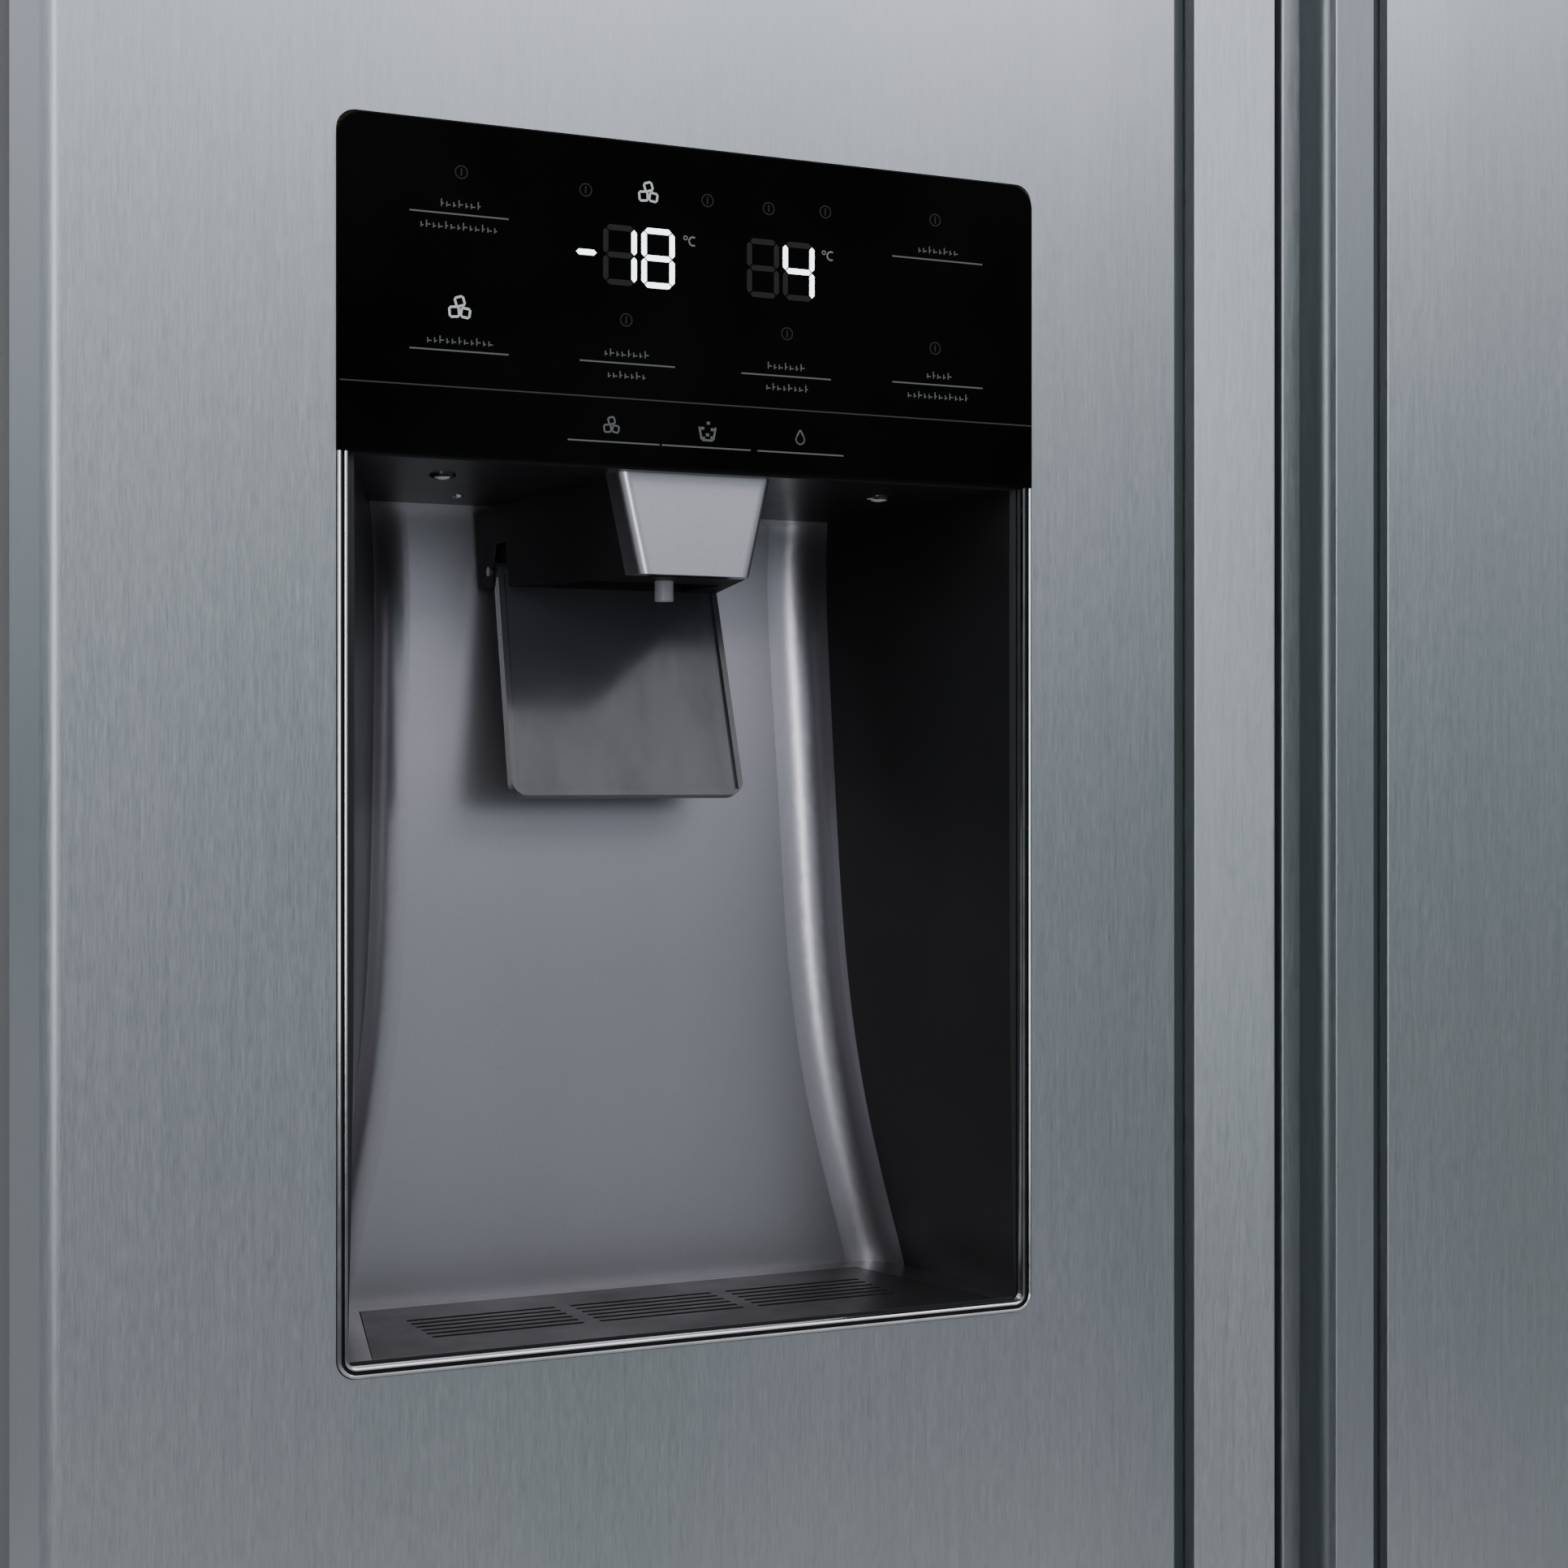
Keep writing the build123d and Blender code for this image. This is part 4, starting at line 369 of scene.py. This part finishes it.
def foam_core():
    """Cut rigid foam: pale yellow with fine cells."""
    s = Shader("foam", roughness=0.95)
    cells = s.node("ShaderNodeTexVoronoi", {
        "Vector": s.node("ShaderNodeMapping", {"Vector": s.coords, "Scale": (800, 800, 800)}).outputs[0]})
    tone = s.colours(cells.outputs["Distance"], (0.0, (0.52, 0.42, 0.20)), (0.9, (0.74, 0.64, 0.38)))
    s.link(tone, "Base Color")
    s.bump(cells.outputs["Distance"], 0.0003, 0.6)
    return s.material


STEEL = brushed_steel()
GRIP_STEEL_PAINTED_SHADE = grip_steel_painted_shade()
BLACK_PLASTIC = fine_grain("black_plastic", (0.011, 0.011, 0.0115), 0.46, specular_ior_level=0.12)
WALL_BLACK = fine_grain("recess_black", (0.009, 0.009, 0.0095), 0.34, height=0.00002)
DARK_PADDLE = polished("dark_paddle", (0.046, 0.048, 0.055), 0.18, specular_ior_level=0.22, coat_weight=0.08,
                       coat_roughness=0.12)
PANEL_GLASS = polished("panel_glass", (0.0006, 0.0006, 0.0007), 0.05, specular_ior_level=0.03)
SILVER = silver_lacquer("silver_plastic")
CAP_SILVER = silver_lacquer("cap_silver", 1.42)
CHROME = chrome()
GREY_PLASTIC = fine_grain("grey_plastic", (0.085, 0.088, 0.092), 0.5)
WHITE_PLASTIC = fine_grain("white_plastic", (0.70, 0.70, 0.68), 0.45, variation=0.03)
LINER_WHITE = fine_grain("liner_white", (0.78, 0.79, 0.78), 0.32, grain=900, variation=0.02, coat_weight=0.15)
CABINET_PAINT = fine_grain("cabinet_paint", (0.16, 0.165, 0.17), 0.45, grain=700, height=0.00012,
                           variation=0.05)
RUBBER = fine_grain("gasket_rubber", (0.16, 0.165, 0.17), 0.75)
CLEAR_PLASTIC = clear("clear_plastic", (0.86, 0.91, 0.93), 0.08)
SHELF_GLASS = clear("shelf_glass", (0.80, 0.93, 0.90), 0.03)
NOZZLE = clear("nozzle_plastic", (0.62, 0.63, 0.66), 0.35, transmission=0.35)
LAMP_LENS = clear("lamp_lens", (0.90, 0.90, 0.86), 0.4, transmission=0.3)
COMPRESSOR_BLACK = fine_grain("compressor_black", (0.012, 0.012, 0.013), 0.3, grain=500, height=0.00008)
ZINC = fine_grain("zinc_steel", (0.50, 0.51, 0.53), 0.32, grain=1400, metallic=1.0)
GALVANISED = galvanised()
FINS = fins("aluminium_fin")
FOAM = foam_core()
RAIL_SILVER = fine_grain("rail_silver", (0.42, 0.43, 0.44), 0.34, metallic=0.7, height=0.00001)
SEAM_DARK = fine_grain("seam_dark", (0.022, 0.032, 0.033), 0.38)
GLOW = glowing("display_glow", (0.86, 0.93, 1.0), 5.0)
PALE_MARK = glowing("display_pale", (0.62, 0.66, 0.70), 0.28)
DIM_MARK = glowing("display_dim", (0.40, 0.42, 0.45), 0.022)
ICON_MARK = glowing("display_icon", (0.72, 0.76, 0.80), 0.75)
GHOST_MARK = glowing("display_ghost", (0.5, 0.5, 0.5), 0.005)
LINE_MARK = glowing("display_lines", (0.6, 0.63, 0.66), 0.17)
WORD_MARK = glowing("display_words", (0.5, 0.53, 0.56), 0.2)
SEPARATOR_MARK = glowing("display_separator", (0.5, 0.5, 0.5), 0.06)
SELECTOR_MARK = glowing("display_selector", (0.6, 0.63, 0.66), 0.16)

SLOT_MATERIALS = {
    "brushed_steel": STEEL, "cabinet_paint": CABINET_PAINT, "galvanised_sheet": GALVANISED,
    "liner_white": LINER_WHITE, "foam": FOAM, "clear_plastic": CLEAR_PLASTIC, "shelf_glass": SHELF_GLASS,
    "gasket_rubber": RUBBER, "black_gloss": WALL_BLACK, "black_plastic": BLACK_PLASTIC,
    "dark_paddle": DARK_PADDLE, "silver_plastic": SILVER, "trim_chrome": CHROME,
    "panel_glass": PANEL_GLASS, "nozzle_plastic": NOZZLE, "compressor_black": COMPRESSOR_BLACK,
    "zinc_steel": ZINC, "aluminium_fin": FINS, "brass_fitting": ZINC, "grey_plastic": GREY_PLASTIC,
    "white_plastic": WHITE_PLASTIC, "lamp_lens": LAMP_LENS,
}
NODE_MATERIALS = {"freezer_door_grip": GRIP_STEEL_PAINTED_SHADE, "fridge_door_grip": GRIP_STEEL_PAINTED_SHADE, "spout_cap": CAP_SILVER}


def paint_nodes():
    """Gives every CAD node the material of its slot, or its own look where it has one."""
    for part in frame["record"]["subparts"]:
        node = frame["nodes"][part["node"]]
        node.data.materials.clear()
        own = NODE_MATERIALS.get(part["node"])
        node.data.materials.append(own or SLOT_MATERIALS[part["material_slot"]])
        smooth_by_angle(node.data, CAD_SMOOTH_TO)


# --- Control panel marks -------------------------------------------------------------------
MARK_PROUD = 0.06
MARK_DEPTH = (GLASS_Y - FACE_Y) / MM - MARK_PROUD
MARK_T = 0.05


def marks(name, material, shapes):
    """Thin printed or lit shapes on the face of the control glass."""
    def build(bm):
        for points in shapes:
            panel_shape(bm, points, MARK_DEPTH, MARK_T)
    return mesh_piece(name, "freezer_door", material, build, smooth=False)


def bar(u0, h0, u1, h1, width):
    """A straight stroke with pointed ends, as one digit segment."""
    along = Vector((u1 - u0, h1 - h0))
    length = along.length
    along.normalize()
    side = Vector((-along.y, along.x)) * width / 2
    tip = along * width / 2
    start, end = Vector((u0, h0)), Vector((u1, h1))
    if length < 2 * width:
        tip = along * length / 4
    points = (start, start + tip + side, end - tip + side, end, end - tip - side, start + tip - side)
    return [tuple(p) for p in points]


def rect(u, h, width, height):
    """A rectangle about its middle."""
    a, b = width / 2, height / 2
    return [(u - a, h - b), (u + a, h - b), (u + a, h + b), (u - a, h + b)]


SEGMENTS = {"1": "bc", "4": "bcfg", "8": "abcdefg"}
DIGIT_W = 9.3
DIGIT_H = 16.6
DIGIT_FOOT = 326.3
STROKE = 1.75
STROKE_GAP = STROKE * 0.16


def digit(symbol, left, only=None):
    """The strokes of one seven-segment digit, or some of them by number."""
    right, bottom, top = left + DIGIT_W, DIGIT_FOOT, DIGIT_FOOT + DIGIT_H
    middle = bottom + DIGIT_H / 2
    lines = {
        "a": (left, top, right, top), "b": (right, top, right, middle), "c": (right, middle, right, bottom),
        "d": (left, bottom, right, bottom), "e": (left, bottom, left, middle),
        "f": (left, middle, left, top), "g": (left, middle, right, middle),
    }
    shapes = []
    for segment in SEGMENTS[symbol]:
        u0, h0, u1, h1 = lines[segment]
        step = Vector((u1 - u0, h1 - h0)).normalized() * STROKE_GAP
        shapes.append(bar(u0 + step.x, h0 + step.y, u1 - step.x, h1 - step.y, STROKE))
    return [shapes[i] for i in only] if only else shapes


def arc(u, h, inner, outer, angles):
    """Short flat strokes between two radii, from each angle to the next."""
    shapes = []
    for a, b in zip(angles, angles[1:]):
        corners = ((inner, a), (outer, a), (outer, b), (inner, b))
        shapes.append([(u + r * math.cos(angle), h + r * math.sin(angle)) for r, angle in corners])
    return shapes


def ring(u, h, radius, stroke, steps):
    """A small round ring as short strokes."""
    angles = [2 * math.pi * k / steps for k in range(steps + 1)]
    return arc(u, h, radius - stroke / 2, radius + stroke / 2, angles)


def outline(points, width):
    """A closed outline as straight strokes."""
    pairs = zip(points, points[1:] + points[:1])
    return [bar(a.x, a.y, b.x, b.y, width) for a, b in pairs]


DEGREE_RING = (0.6, 0.35, 8)        # radius, stroke and number of strokes
DEGREE_RING_LIFT = 0.9
DEGREE_C_SHIFT = 2.5
DEGREE_C_RADII = (1.1, 1.6)
DEGREE_C_ANGLES = [math.radians(60 + 34 * k) for k in range(8)]


def degree_mark(u, h):
    """A small ring and an open C."""
    small_ring = ring(u, h + DEGREE_RING_LIFT, *DEGREE_RING)
    return small_ring + arc(u + DEGREE_C_SHIFT, h, *DEGREE_C_RADII, DEGREE_C_ANGLES)


# The pictures are drawn in parts of their size, about their middle.
ICE_CUBES = ((-0.26, -0.2, 0.1, 0.5), (0.27, -0.22, -0.15, 0.46), (0.0, 0.28, 0.3, 0.46))  # u, h, turn, scale
CUBE_REACH = 0.62
CUBE_STROKE = 0.11
CUP = ((-0.5, 0.25), (-0.35, -0.5), (0.35, -0.5), (0.5, 0.25))
CUP_STROKE = 0.12
CHIPS = ((-0.3, 0.15), (0.05, 0.45), (0.3, 0.1), (0.0, -0.2), (-0.25, -0.4), (0.28, -0.35))
CHIP_W, CHIP_H = 0.2, 0.16
DROP_RADIUS = 0.30
DROP_SINK = 0.12
DROP_TIP = 0.5
DROP_STROKE = 0.10
DROP_ANGLES = [math.radians(150 + 20 * k) for k in range(13)]


def cube_icon(u, h, size):
    """Three stacked ice cubes: small tilted squares drawn as outlines."""
    shapes = []
    for du, dh, turn, scale in ICE_CUBES:
        centre = Vector((u + du * size, h + dh * size))
        angles = [turn + math.pi / 4 + k * math.pi / 2 for k in range(4)]
        arms = [Vector((math.cos(angle), math.sin(angle))) for angle in angles]
        shapes += outline([centre + arm * size * scale * CUBE_REACH for arm in arms], size * CUBE_STROKE)
    return shapes


def crushed_icon(u, h, size):
    """A shallow cup with a few chips above it."""
    points = [(u + du * size, h + dh * size) for du, dh in CUP]
    shapes = [bar(*a, *b, size * CUP_STROKE) for a, b in zip(points, points[1:])]
    shapes += [rect(u + du * size, h + dh * size, size * CHIP_W, size * CHIP_H) for du, dh in CHIPS]
    return shapes


def drop_icon(u, h, size):
    """An outlined drop."""
    radius, low = DROP_RADIUS * size, h - DROP_SINK * size
    points = [Vector((u + radius * math.cos(angle), low + radius * math.sin(angle))) for angle in DROP_ANGLES]
    return outline(points + [Vector((u, h + DROP_TIP * size))], size * DROP_STROKE)


WORD_STROKE = 0.34
WORD_GAP = 0.75
WORD_H, WORD_MORE_H = 1.5, 0.7      # height of a letter-like stroke, and what every third one adds
WORD_W, WORD_MORE_W = 0.9, 0.5      # its width, and what every second one adds


def label_strokes(u, h, width, seed):
    """A row of short plain strokes in place of a printed word."""
    shapes = []
    x = u - width / 2
    step = 0
    while x < u + width / 2:
        tall = WORD_H + WORD_MORE_H * ((seed + step) % 3 == 0)
        wide = WORD_W + WORD_MORE_W * ((seed * 3 + step) % 2)
        shapes.append(rect(x + wide / 2, h + tall / 2 - 0.8, wide, WORD_STROKE))
        shapes.append(rect(x + 0.2, h + tall / 2 - 0.6, WORD_STROKE, tall))
        x += wide + WORD_GAP
        step += 1
    return shapes


# Places on the control glass, in mm right of the dispenser's left edge and above its foot
FREEZER_DIGITS = (83.4, 96.0)
FRIDGE_DIGITS = (131.5, 143.9)
MINUS = (73.8, 80.4)
DEGREES = ((109.8, 340.9), (157.4, 340.5))
LIT_CUBES = ((97.4, 354.6, 6.2), (37.0, 314.6, 6.6))        # the third number is the size
SELECTOR_CUBES = (85.3, 282.6, 5.0)
SELECTOR_CRUSHED = (117.2, 282.6, 5.6)
SELECTOR_DROP = (149.1, 282.4, 5.0)
DIM_ICONS = (
    (37.5, 354.8), (76.9, 353.4), (117.2, 354.0), (138.1, 353.5), (157.9, 354.3),
    (90.1, 315.0), (144.5, 314.8), (197.5, 355.4), (197.5, 314.0),
)
DIM_RING = (1.9, 0.4, 12)           # radius, stroke and number of strokes
DIM_BAR = (0.5, 2.2)
# Touch fields: middle, underline height, underline width, widths of the strokes above and below
FIELDS = (
    (36.9, 342.2, 30.7, 11.5, 24.0), (36.9, 301.7, 30.7, 20.0, 0.0), (90.6, 301.7, 31.3, 15.0, 13.0),
    (144.3, 301.4, 31.1, 13.0, 14.0), (198.4, 342.5, 33.2, 14.0, 0.0), (198.5, 302.2, 33.2, 8.0, 22.0),
)
WORDS_ABOVE, WORDS_BELOW = 2.6, 4.0
LINE_T = 0.45
SELECTORS = (86.1, 116.9, 149.3)
SELECTOR_H = 277.5
SELECTOR_W = 30.0
SEPARATOR_H = 291.0
SEPARATOR_T = 0.4
SEPARATOR_SHORT = 1.0


def display_marks():
    """The lit temperatures and the segments that show faintly when off."""
    middle = DIGIT_FOOT + DIGIT_H / 2
    lit = digit("1", FREEZER_DIGITS[0]) + digit("8", FREEZER_DIGITS[1]) + digit("4", FRIDGE_DIGITS[1])
    marks("display_digits", GLOW, lit + [bar(MINUS[0], middle, MINUS[1], middle, STROKE)])
    ghost = digit("8", FREEZER_DIGITS[0], (0, 3, 4, 5, 6)) + digit("8", FRIDGE_DIGITS[0])
    marks("display_ghost_segments", GHOST_MARK, ghost + digit("8", FRIDGE_DIGITS[1], (0, 3, 4)))
    marks("display_degrees", PALE_MARK, [shape for place in DEGREES for shape in degree_mark(*place)])
    marks("display_icons", ICON_MARK, [shape for place in LIT_CUBES for shape in cube_icon(*place)])


def touch_marks():
    """The underlines of the touch fields, strokes for their words, and the line below the fields."""
    lines, words = [], []
    for number, (u, h, width, above, below) in enumerate(FIELDS):
        lines.append(rect(u, h, width, LINE_T))
        words += label_strokes(u, h + WORDS_ABOVE, above, number)
        if below:
            words += label_strokes(u, h - WORDS_BELOW, below, number + 2)
    lines += [rect(u, SELECTOR_H, SELECTOR_W, LINE_T) for u in SELECTORS]
    separator = rect(PANEL_MID / MM, SEPARATOR_H, PANEL_W / MM - SEPARATOR_SHORT, SEPARATOR_T)
    marks("touch_lines", LINE_MARK, lines)
    marks("touch_strokes", WORD_MARK, words)
    marks("panel_separator", SEPARATOR_MARK, [separator])


def icon_marks():
    """The three pictures of the selector and the dim round icons."""
    selector = cube_icon(*SELECTOR_CUBES) + crushed_icon(*SELECTOR_CRUSHED) + drop_icon(*SELECTOR_DROP)
    marks("selector_icons", SELECTOR_MARK, selector)
    dim = []
    for place in DIM_ICONS:
        dim += ring(*place, *DIM_RING) + [rect(*place, *DIM_BAR)]
    marks("display_dim_icons", DIM_MARK, dim)


# --- Dispenser details ---------------------------------------------------------------------
LAMP_REACH = 75.5                   # of each lamp from the middle
LAMP_DEPTH, LAMP_H = 29, 268.6
SCREW_SPOT = (58, 64, 266.6)
# Profiles of (radius, height) in mm
LAMP_RING = ((3.9, 0.6), (4.1, -0.5), (3.5, -1.0), (2.9, -0.5), (2.8, 0.6))
LAMP_BULB = ((2.8, 0.5), (2.8, -0.3), (2.2, -1.1), (1.0, -1.5), (0.2, -1.6))
SCREW_HEAD = ((2.0, 0.6), (2.0, -0.3), (1.5, -0.9), (0.5, -1.1))


def turned_piece(name, material, profile, centre):
    """A small round piece on the freezer door, turned about an upright axis."""
    scaled = [(radius * MM, height * MM) for radius, height in profile]
    mesh_piece(name, "freezer_door", material, lambda bm: turned(bm, scaled, centre, (0, 0, 1)))


def recess_lamps():
    """Two small lamps in the ceiling, each a lens in a bright ring, and a screw behind the left one."""
    for name, u in (("left", PANEL_MID / MM - LAMP_REACH), ("right", PANEL_MID / MM + LAMP_REACH)):
        centre = at(u, LAMP_DEPTH, LAMP_H)
        turned_piece(f"recess_lamp_ring_{name}", CHROME, LAMP_RING, centre)
        turned_piece(f"recess_lamp_lens_{name}", LAMP_LENS, LAMP_BULB, centre)
    turned_piece("recess_screw", ZINC, SCREW_HEAD, at(*SCREW_SPOT))


FRAME_CORNER = 6.0
FRAME_STEPS = 8
FRAME_TOP_GAP = 0.3
# Closed profiles of (in from the frame's outer edge, behind the door face) in mm
FRAME_OUTER = ((0.0, 2.6), (0.0, -0.5), (0.25, -0.95), (0.75, -1.15), (1.15, -0.9), (1.25, -0.2), (1.25, 2.6))
FRAME_CHANNEL = ((1.25, 2.6), (1.25, 0.35), (2.1, 0.35), (2.1, 2.6))
FRAME_INNER = ((2.1, 2.6), (2.1, 0.0), (2.3, -0.5), (2.75, -0.7), (3.2, -0.5), (3.45, 0.2), (3.45, 2.6))


def trim_path(offset):
    """The U-shaped run of the recess frame, down the left, along the foot and up the right."""
    corner = FRAME_CORNER - offset
    left, right = offset, PANEL_W / MM - offset
    top = (GLASS_LOW[2] - PANEL_Z) / MM - FRAME_TOP_GAP
    points = [(left, top)]
    for middle, start in ((left + corner, math.pi), (right - corner, 1.5 * math.pi)):
        for i in range(FRAME_STEPS + 1):
            angle = start + math.pi / 2 * i / FRAME_STEPS
            points.append((middle + corner * math.cos(angle), offset + corner + corner * math.sin(angle)))
    points.append((right, top))
    return points


def frame_piece(name, material, profile):
    """One run of the recess frame: a closed profile swept along the U."""
    def build(bm):
        runs = [[bm.verts.new(at(u, depth, h)) for u, h in trim_path(offset)] for offset, depth in profile]
        runs.append(runs[0])
        for first, second in zip(runs, runs[1:]):
            for i in range(len(first) - 1):
                bm.faces.new((first[i], first[i + 1], second[i + 1], second[i]))
        for end in (0, -1):
            bm.faces.new([run[end] for run in runs[:-1]])
    return mesh_piece(name, "freezer_door", material, build)


def recess_frame():
    """The chrome frame: two thin beads with a dark channel between them."""
    piece = frame_piece("recess_frame_outer", CHROME, FRAME_OUTER)
    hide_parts("dispenser_trim")
    frame_piece("recess_frame_channel", BLACK_PLASTIC, FRAME_CHANNEL)
    frame_piece("recess_frame_inner", CHROME, FRAME_INNER)


GROOVE_W = 7 * MM
STRIP_DEPTH = 6.5 * MM
STRIP_T = 2.2 * MM
STRIP_SIDE_GAP = 0.3 * MM
STRIP_END_GAP = 0.5 * MM
STRIP_BEVEL = 0.0005


def groove_strips():
    """Dark strip at the bottom of the groove beside each grip."""
    depth = FACE_Y + STRIP_DEPTH
    bottom, top = GRIP_LOW[2] + STRIP_END_GAP, GRIP_HIGH[2] - STRIP_END_GAP
    for door, low, high in (
        ("freezer_door", GRIP_LOW[0], GRIP_LOW[0] + GROOVE_W),
        ("fridge_door", FRIDGE_GRIP_HIGH[0] - GROOVE_W, FRIDGE_GRIP_HIGH[0]),
    ):
        def build(bm, low=low + STRIP_SIDE_GAP, high=high - STRIP_SIDE_GAP):
            slab(bm, (low, depth, bottom), (high, depth + STRIP_T, top))
        mesh_piece(f"{door}_groove_strip", door, SEAM_DARK, build, bevel=STRIP_BEVEL)


# --- Inside the cabinet --------------------------------------------------------------------
# Heights of the undersides of the shelves, in metres
FREEZER_SHELVES = (0.592, 0.800, 1.010, 1.215)
FRIDGE_SHELVES = (0.565, 0.790, 1.010, 1.230, 1.450)
SHELF_T = 4 * MM
RAIL_LIP = 3.5 * MM
RAIL_DEPTH = 7 * MM
RAIL_GAP = 0.2 * MM
RAIL_BEVEL = 0.0024


def shelf_rails():
    """A rounded moulding along the front edge of each glass shelf."""
    glass_low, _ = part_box("glass_shelves")
    front, back = glass_low[1] - RAIL_DEPTH, glass_low[1] - RAIL_GAP
    freezer_low, freezer_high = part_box("freezer_drawer_upper")
    fridge_low, fridge_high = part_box("crisper_drawer_upper")
    rooms = (("freezer", FREEZER_SHELVES, freezer_low[0], freezer_high[0]),
             ("fridge", FRIDGE_SHELVES, fridge_low[0], fridge_high[0]))
    for room, levels, left, right in rooms:
        for number, level in enumerate(levels):
            def build(bm, left=left, right=right, level=level):
                slab(bm, (left, front, level - RAIL_LIP), (right, back, level + SHELF_T + RAIL_LIP))
            mesh_piece(f"{room}_shelf_rail_{number + 1}", "cabinet", RAIL_SILVER, build,
                       bevel=RAIL_BEVEL, segments=4)


# --- Scene ---------------------------------------------------------------------------------
FLOOR_SIZE = 40
FLOOR_PAINTED_LIT = (0.3, (0.48, 0.48, 0.48)), (0.7, (0.52, 0.52, 0.52))
FLOOR_PAINTED_SHADE = (0.13, 0.14, 0.14)
FLOOR_PAINTED_FALLOFF = (1.3, 3.2)             # distances over which painted shade darkens the floor, in metres


def floor():
    """Plain floor with a painted pool of light: pale near the object and painted darker away from it."""
    bpy.ops.mesh.primitive_plane_add(size=FLOOR_SIZE, location=(0, 0, 0))
    plane = bpy.context.active_object
    plane.name = "floor"
    s = Shader("floor_painted_light_pool")
    drift = s.noise((0.8, 0.8, 0.8), detail=2.0)
    painted_lit_tone = s.colours(drift, *FLOOR_PAINTED_LIT)
    away = s.node("ShaderNodeVectorMath", {0: s.coords}, operation="LENGTH").outputs["Value"]
    painted_falloff = s.remap(away, 0.0, 1.0, *FLOOR_PAINTED_FALLOFF)
    # painted light: the pale tone near the object blends into the painted dark tone with distance
    s.link(s.mix(painted_falloff, painted_lit_tone, FLOOR_PAINTED_SHADE), "Base Color")
    s.link(s.remap(drift, 0.6, 0.75), "Roughness")
    plane.data.materials.append(s.material)


SKY_HEIGHTS = (-0.35, 0.90)         # sine of the elevation at the first and last sky stop
SKY_STOPS = (
    (0.0, (0.05, 0.09, 0.09)), (0.256, (0.11, 0.165, 0.16)), (0.397, (0.39, 0.415, 0.46)),
    (0.512, (0.66, 0.67, 0.75)), (0.64, (0.90, 0.90, 0.98)), (1.0, (1.35, 1.35, 1.40)),
)
SKY_SIDES = (-0.9, 0.9)
SKY_STRENGTHS = (1.0, 1.05)         # at the left and at the right side


def map_range(tree, source, spread, result=(0.0, 1.0)):
    """A Map Range node that takes a value from one range to another."""
    made = tree.nodes.new("ShaderNodeMapRange")
    made.inputs["From Min"].default_value, made.inputs["From Max"].default_value = spread
    made.inputs["To Min"].default_value, made.inputs["To Max"].default_value = result
    tree.links.new(source, made.inputs["Value"])
    return made.outputs["Result"]


def world():
    """Soft room: bright and cool above, dark and greener below, a little brighter to the right."""
    sky = bpy.data.worlds.new("studio")
    bpy.context.scene.world = sky
    sky.use_nodes = True
    tree = sky.node_tree
    coords = tree.nodes.new("ShaderNodeTexCoord")
    split = tree.nodes.new("ShaderNodeSeparateXYZ")
    tree.links.new(coords.outputs["Generated"], split.inputs[0])
    ramp = tree.nodes.new("ShaderNodeValToRGB")
    fill_ramp(ramp, SKY_STOPS)
    tree.links.new(map_range(tree, split.outputs["Z"], SKY_HEIGHTS), ramp.inputs["Fac"])
    background = tree.nodes["Background"]
    tree.links.new(ramp.outputs["Color"], background.inputs["Color"])
    strength = map_range(tree, split.outputs["X"], SKY_SIDES, SKY_STRENGTHS)
    tree.links.new(strength, background.inputs["Strength"])


FRONT_AIM = (-0.25, FACE_Y, 1.1)
REAR_AIM = (0, 0.3, 0.9)
# Name, place, aim, width and height in metres, power in watts, colour
LIGHTS = (
    ("key", (-1.2, -2.2, 3.0), FRONT_AIM, (1.4, 1.0), 22, (1.0, 0.99, 0.97)),
    ("side_left", (-1.52, -2.39, 1.5), FRONT_AIM, (0.4, 1.5), 11, (0.95, 0.96, 1.0)),
    ("soft_front", (1.1, -2.7, 2.75), FRONT_AIM, (1.8, 0.8), 17, (0.97, 0.97, 1.0)),
    ("rear", (1.6, 3.0, 2.2), REAR_AIM, (2.0, 1.6), 40, (1, 1, 1)),
)


def lights():
    """Large soft lights: two high in front, one low from the left, one behind for the back views."""
    for name, place, aim, size, power, colour in LIGHTS:
        light = bpy.data.lights.new(name, "AREA")
        light.shape = "RECTANGLE"
        light.size, light.size_y = size
        light.energy = power
        light.color = colour
        lamp = bpy.data.objects.new(name, light)
        lamp.location = place
        lamp.rotation_euler = (Vector(aim) - Vector(place)).to_track_quat("-Z", "Y").to_euler()
        bpy.context.scene.collection.objects.link(lamp)


CAMERA_SPOT = (-0.5777, -1.0844, 1.1299)
CAMERA_YAW = -25.5
LENS = 59.65
SENSOR_W = 36.0
SHIFT_Y = -0.0031
CLIP_START = 0.05


def camera():
    """The view of the reference: close to the dispenser, turned a little to the right."""
    data = bpy.data.cameras.new("camera")
    data.lens = LENS
    data.sensor_width = SENSOR_W
    data.shift_y = SHIFT_Y
    data.clip_start = CLIP_START
    view = bpy.data.objects.new("camera", data)
    view.location = CAMERA_SPOT
    view.rotation_euler = (math.radians(90), 0, math.radians(CAMERA_YAW))
    bpy.context.scene.collection.objects.link(view)
    bpy.context.scene.camera = view


camera()
world()
lights()
floor()
paint_nodes()
display_marks()
touch_marks()
icon_marks()
recess_lamps()
recess_frame()
groove_strips()
shelf_rails()
